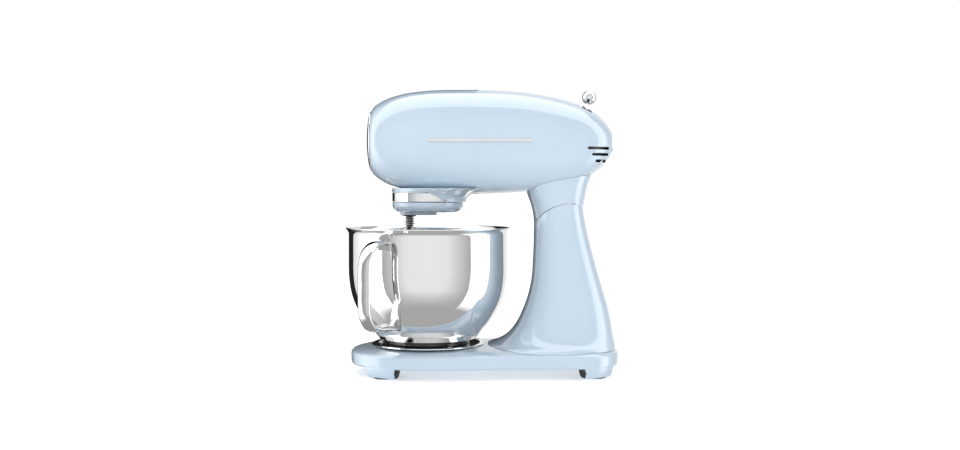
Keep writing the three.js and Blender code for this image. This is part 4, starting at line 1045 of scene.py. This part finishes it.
def build_studio():
    """World: white to the camera, an even dome for soft light, and panels for what reflects them."""
    world = bpy.data.worlds.new("studio")
    bpy.context.scene.world = world
    world.use_nodes = True
    tree = world.node_tree
    tree.nodes.clear()

    def node(kind, *sources, **settings):
        made = tree.nodes.new(kind)
        for key, value in settings.items():
            setattr(made, key, value)
        for socket, source in zip(made.inputs, sources):
            if isinstance(source, (int, float)):
                socket.default_value = source
            else:
                tree.links.new(source, socket)
        return made.outputs[0]

    def maths(operation, *sources):
        return node("ShaderNodeMath", *sources, operation=operation)

    def levels(factor, stops, start):
        ramp = tree.nodes.new("ShaderNodeValToRGB")
        elements = ramp.color_ramp.elements
        while len(elements) < len(stops):
            elements.new(0.5)
        for element, (position, level) in zip(elements, stops):
            element.position = position - start
            element.color = (level, level, level, 1)
        tree.links.new(factor, ramp.inputs["Fac"])
        return ramp.outputs["Color"]

    def mixed(factor, first, second):
        mix = tree.nodes.new("ShaderNodeMix")
        mix.data_type = "RGBA"
        tree.links.new(factor, mix.inputs["Factor"])
        for name, source in (("A", first), ("B", second)):
            if isinstance(source, float):
                mix.inputs[name].default_value = (source, source, source, 1)
            else:
                tree.links.new(source, mix.inputs[name])
        return mix.outputs["Result"]

    split = tree.nodes.new("ShaderNodeSeparateXYZ")
    tree.links.new(tree.nodes.new("ShaderNodeTexCoord").outputs["Generated"], split.inputs[0])
    x, y, z = split.outputs
    ahead = maths("MULTIPLY", y, -1.0)
    angle = maths("MULTIPLY", maths("ARCCOSINE", ahead), 1 / math.pi)
    turn = maths("MULTIPLY_ADD", maths("ARCTAN2", x, ahead), 0.5 / math.pi, 0.5)
    rear = mixed(node("ShaderNodeMapRange", z, *CEILING), levels(turn, STUDIO_BEHIND, -0.5), PANEL_LEVEL)
    room = mixed(maths("GREATER_THAN", y, STUDIO_SPLIT), levels(angle, STUDIO_AHEAD, 0), rear)
    room = mixed(node("ShaderNodeMapRange", z, *DOWNWARD), room, FLOOR_LEVEL)
    panels = node("ShaderNodeBackground", room)

    def plain(strength):
        background = node("ShaderNodeBackground")
        background.node.inputs["Color"].default_value = (*WHITE, 1)
        background.node.inputs["Strength"].default_value = strength
        return background

    rays = tree.nodes.new("ShaderNodeLightPath").outputs
    mix = node("ShaderNodeMixShader", rays["Is Glossy Ray"], plain(DOME_LEVEL), panels)
    mix = node("ShaderNodeMixShader", rays["Is Camera Ray"], mix, plain(BACKDROP_LEVEL))
    tree.links.new(mix, tree.nodes.new("ShaderNodeOutputWorld").inputs["Surface"])


def area_light(name, place, target, size, power):
    """A soft rectangular light, in metres and watts, which reflections leave out."""
    data = bpy.data.lights.new(name, "AREA")
    data.shape = "RECTANGLE"
    data.size, data.size_y = size
    data.energy = power
    light = bpy.data.objects.new(name, data)
    bpy.context.scene.collection.objects.link(light)
    light.visible_glossy = False
    light.location = place
    light.rotation_euler = (Vector(target) - Vector(place)).to_track_quat("-Z", "Y").to_euler()


def build_lights():
    area_light("overhead", (0.0, -0.25, 1.5), (0, 0, 0.3), (2.6, 1.0), 2)
    area_light("near_fill", (-0.5, -2.2, 0.9), (0, 0, 0.22), (1.2, 1.2), 9)
    area_light("far_fill", (0.4, 1.8, 1.2), (0, 0, 0.2), (1.6, 1.0), 4)


CAMERA_PLACE = (-0.0022, -1.5248, 0.242)
CAMERA_PITCH = 1.65  # degrees below level
CAMERA_LENS = 43.0  # for a sensor 36 mm wide


def build_camera():
    data = bpy.data.cameras.new("camera")
    data.lens = CAMERA_LENS
    data.sensor_width = 36
    camera = bpy.data.objects.new("camera", data)
    bpy.context.scene.collection.objects.link(camera)
    camera.location = CAMERA_PLACE
    camera.rotation_euler = (math.radians(90 - CAMERA_PITCH), 0, 0)
    bpy.context.scene.camera = camera


build_camera()
build_studio()
build_lights()
build_floor()
dress_cad_nodes()
build_base()
build_column()
build_plate()
build_neck()
build_head()
build_hub_cap()
build_button()
build_lever()
build_carrier()
build_spindle()
build_beater()
build_bowl()
build_handle()
bpy.context.scene.view_settings.view_transform = "Standard"
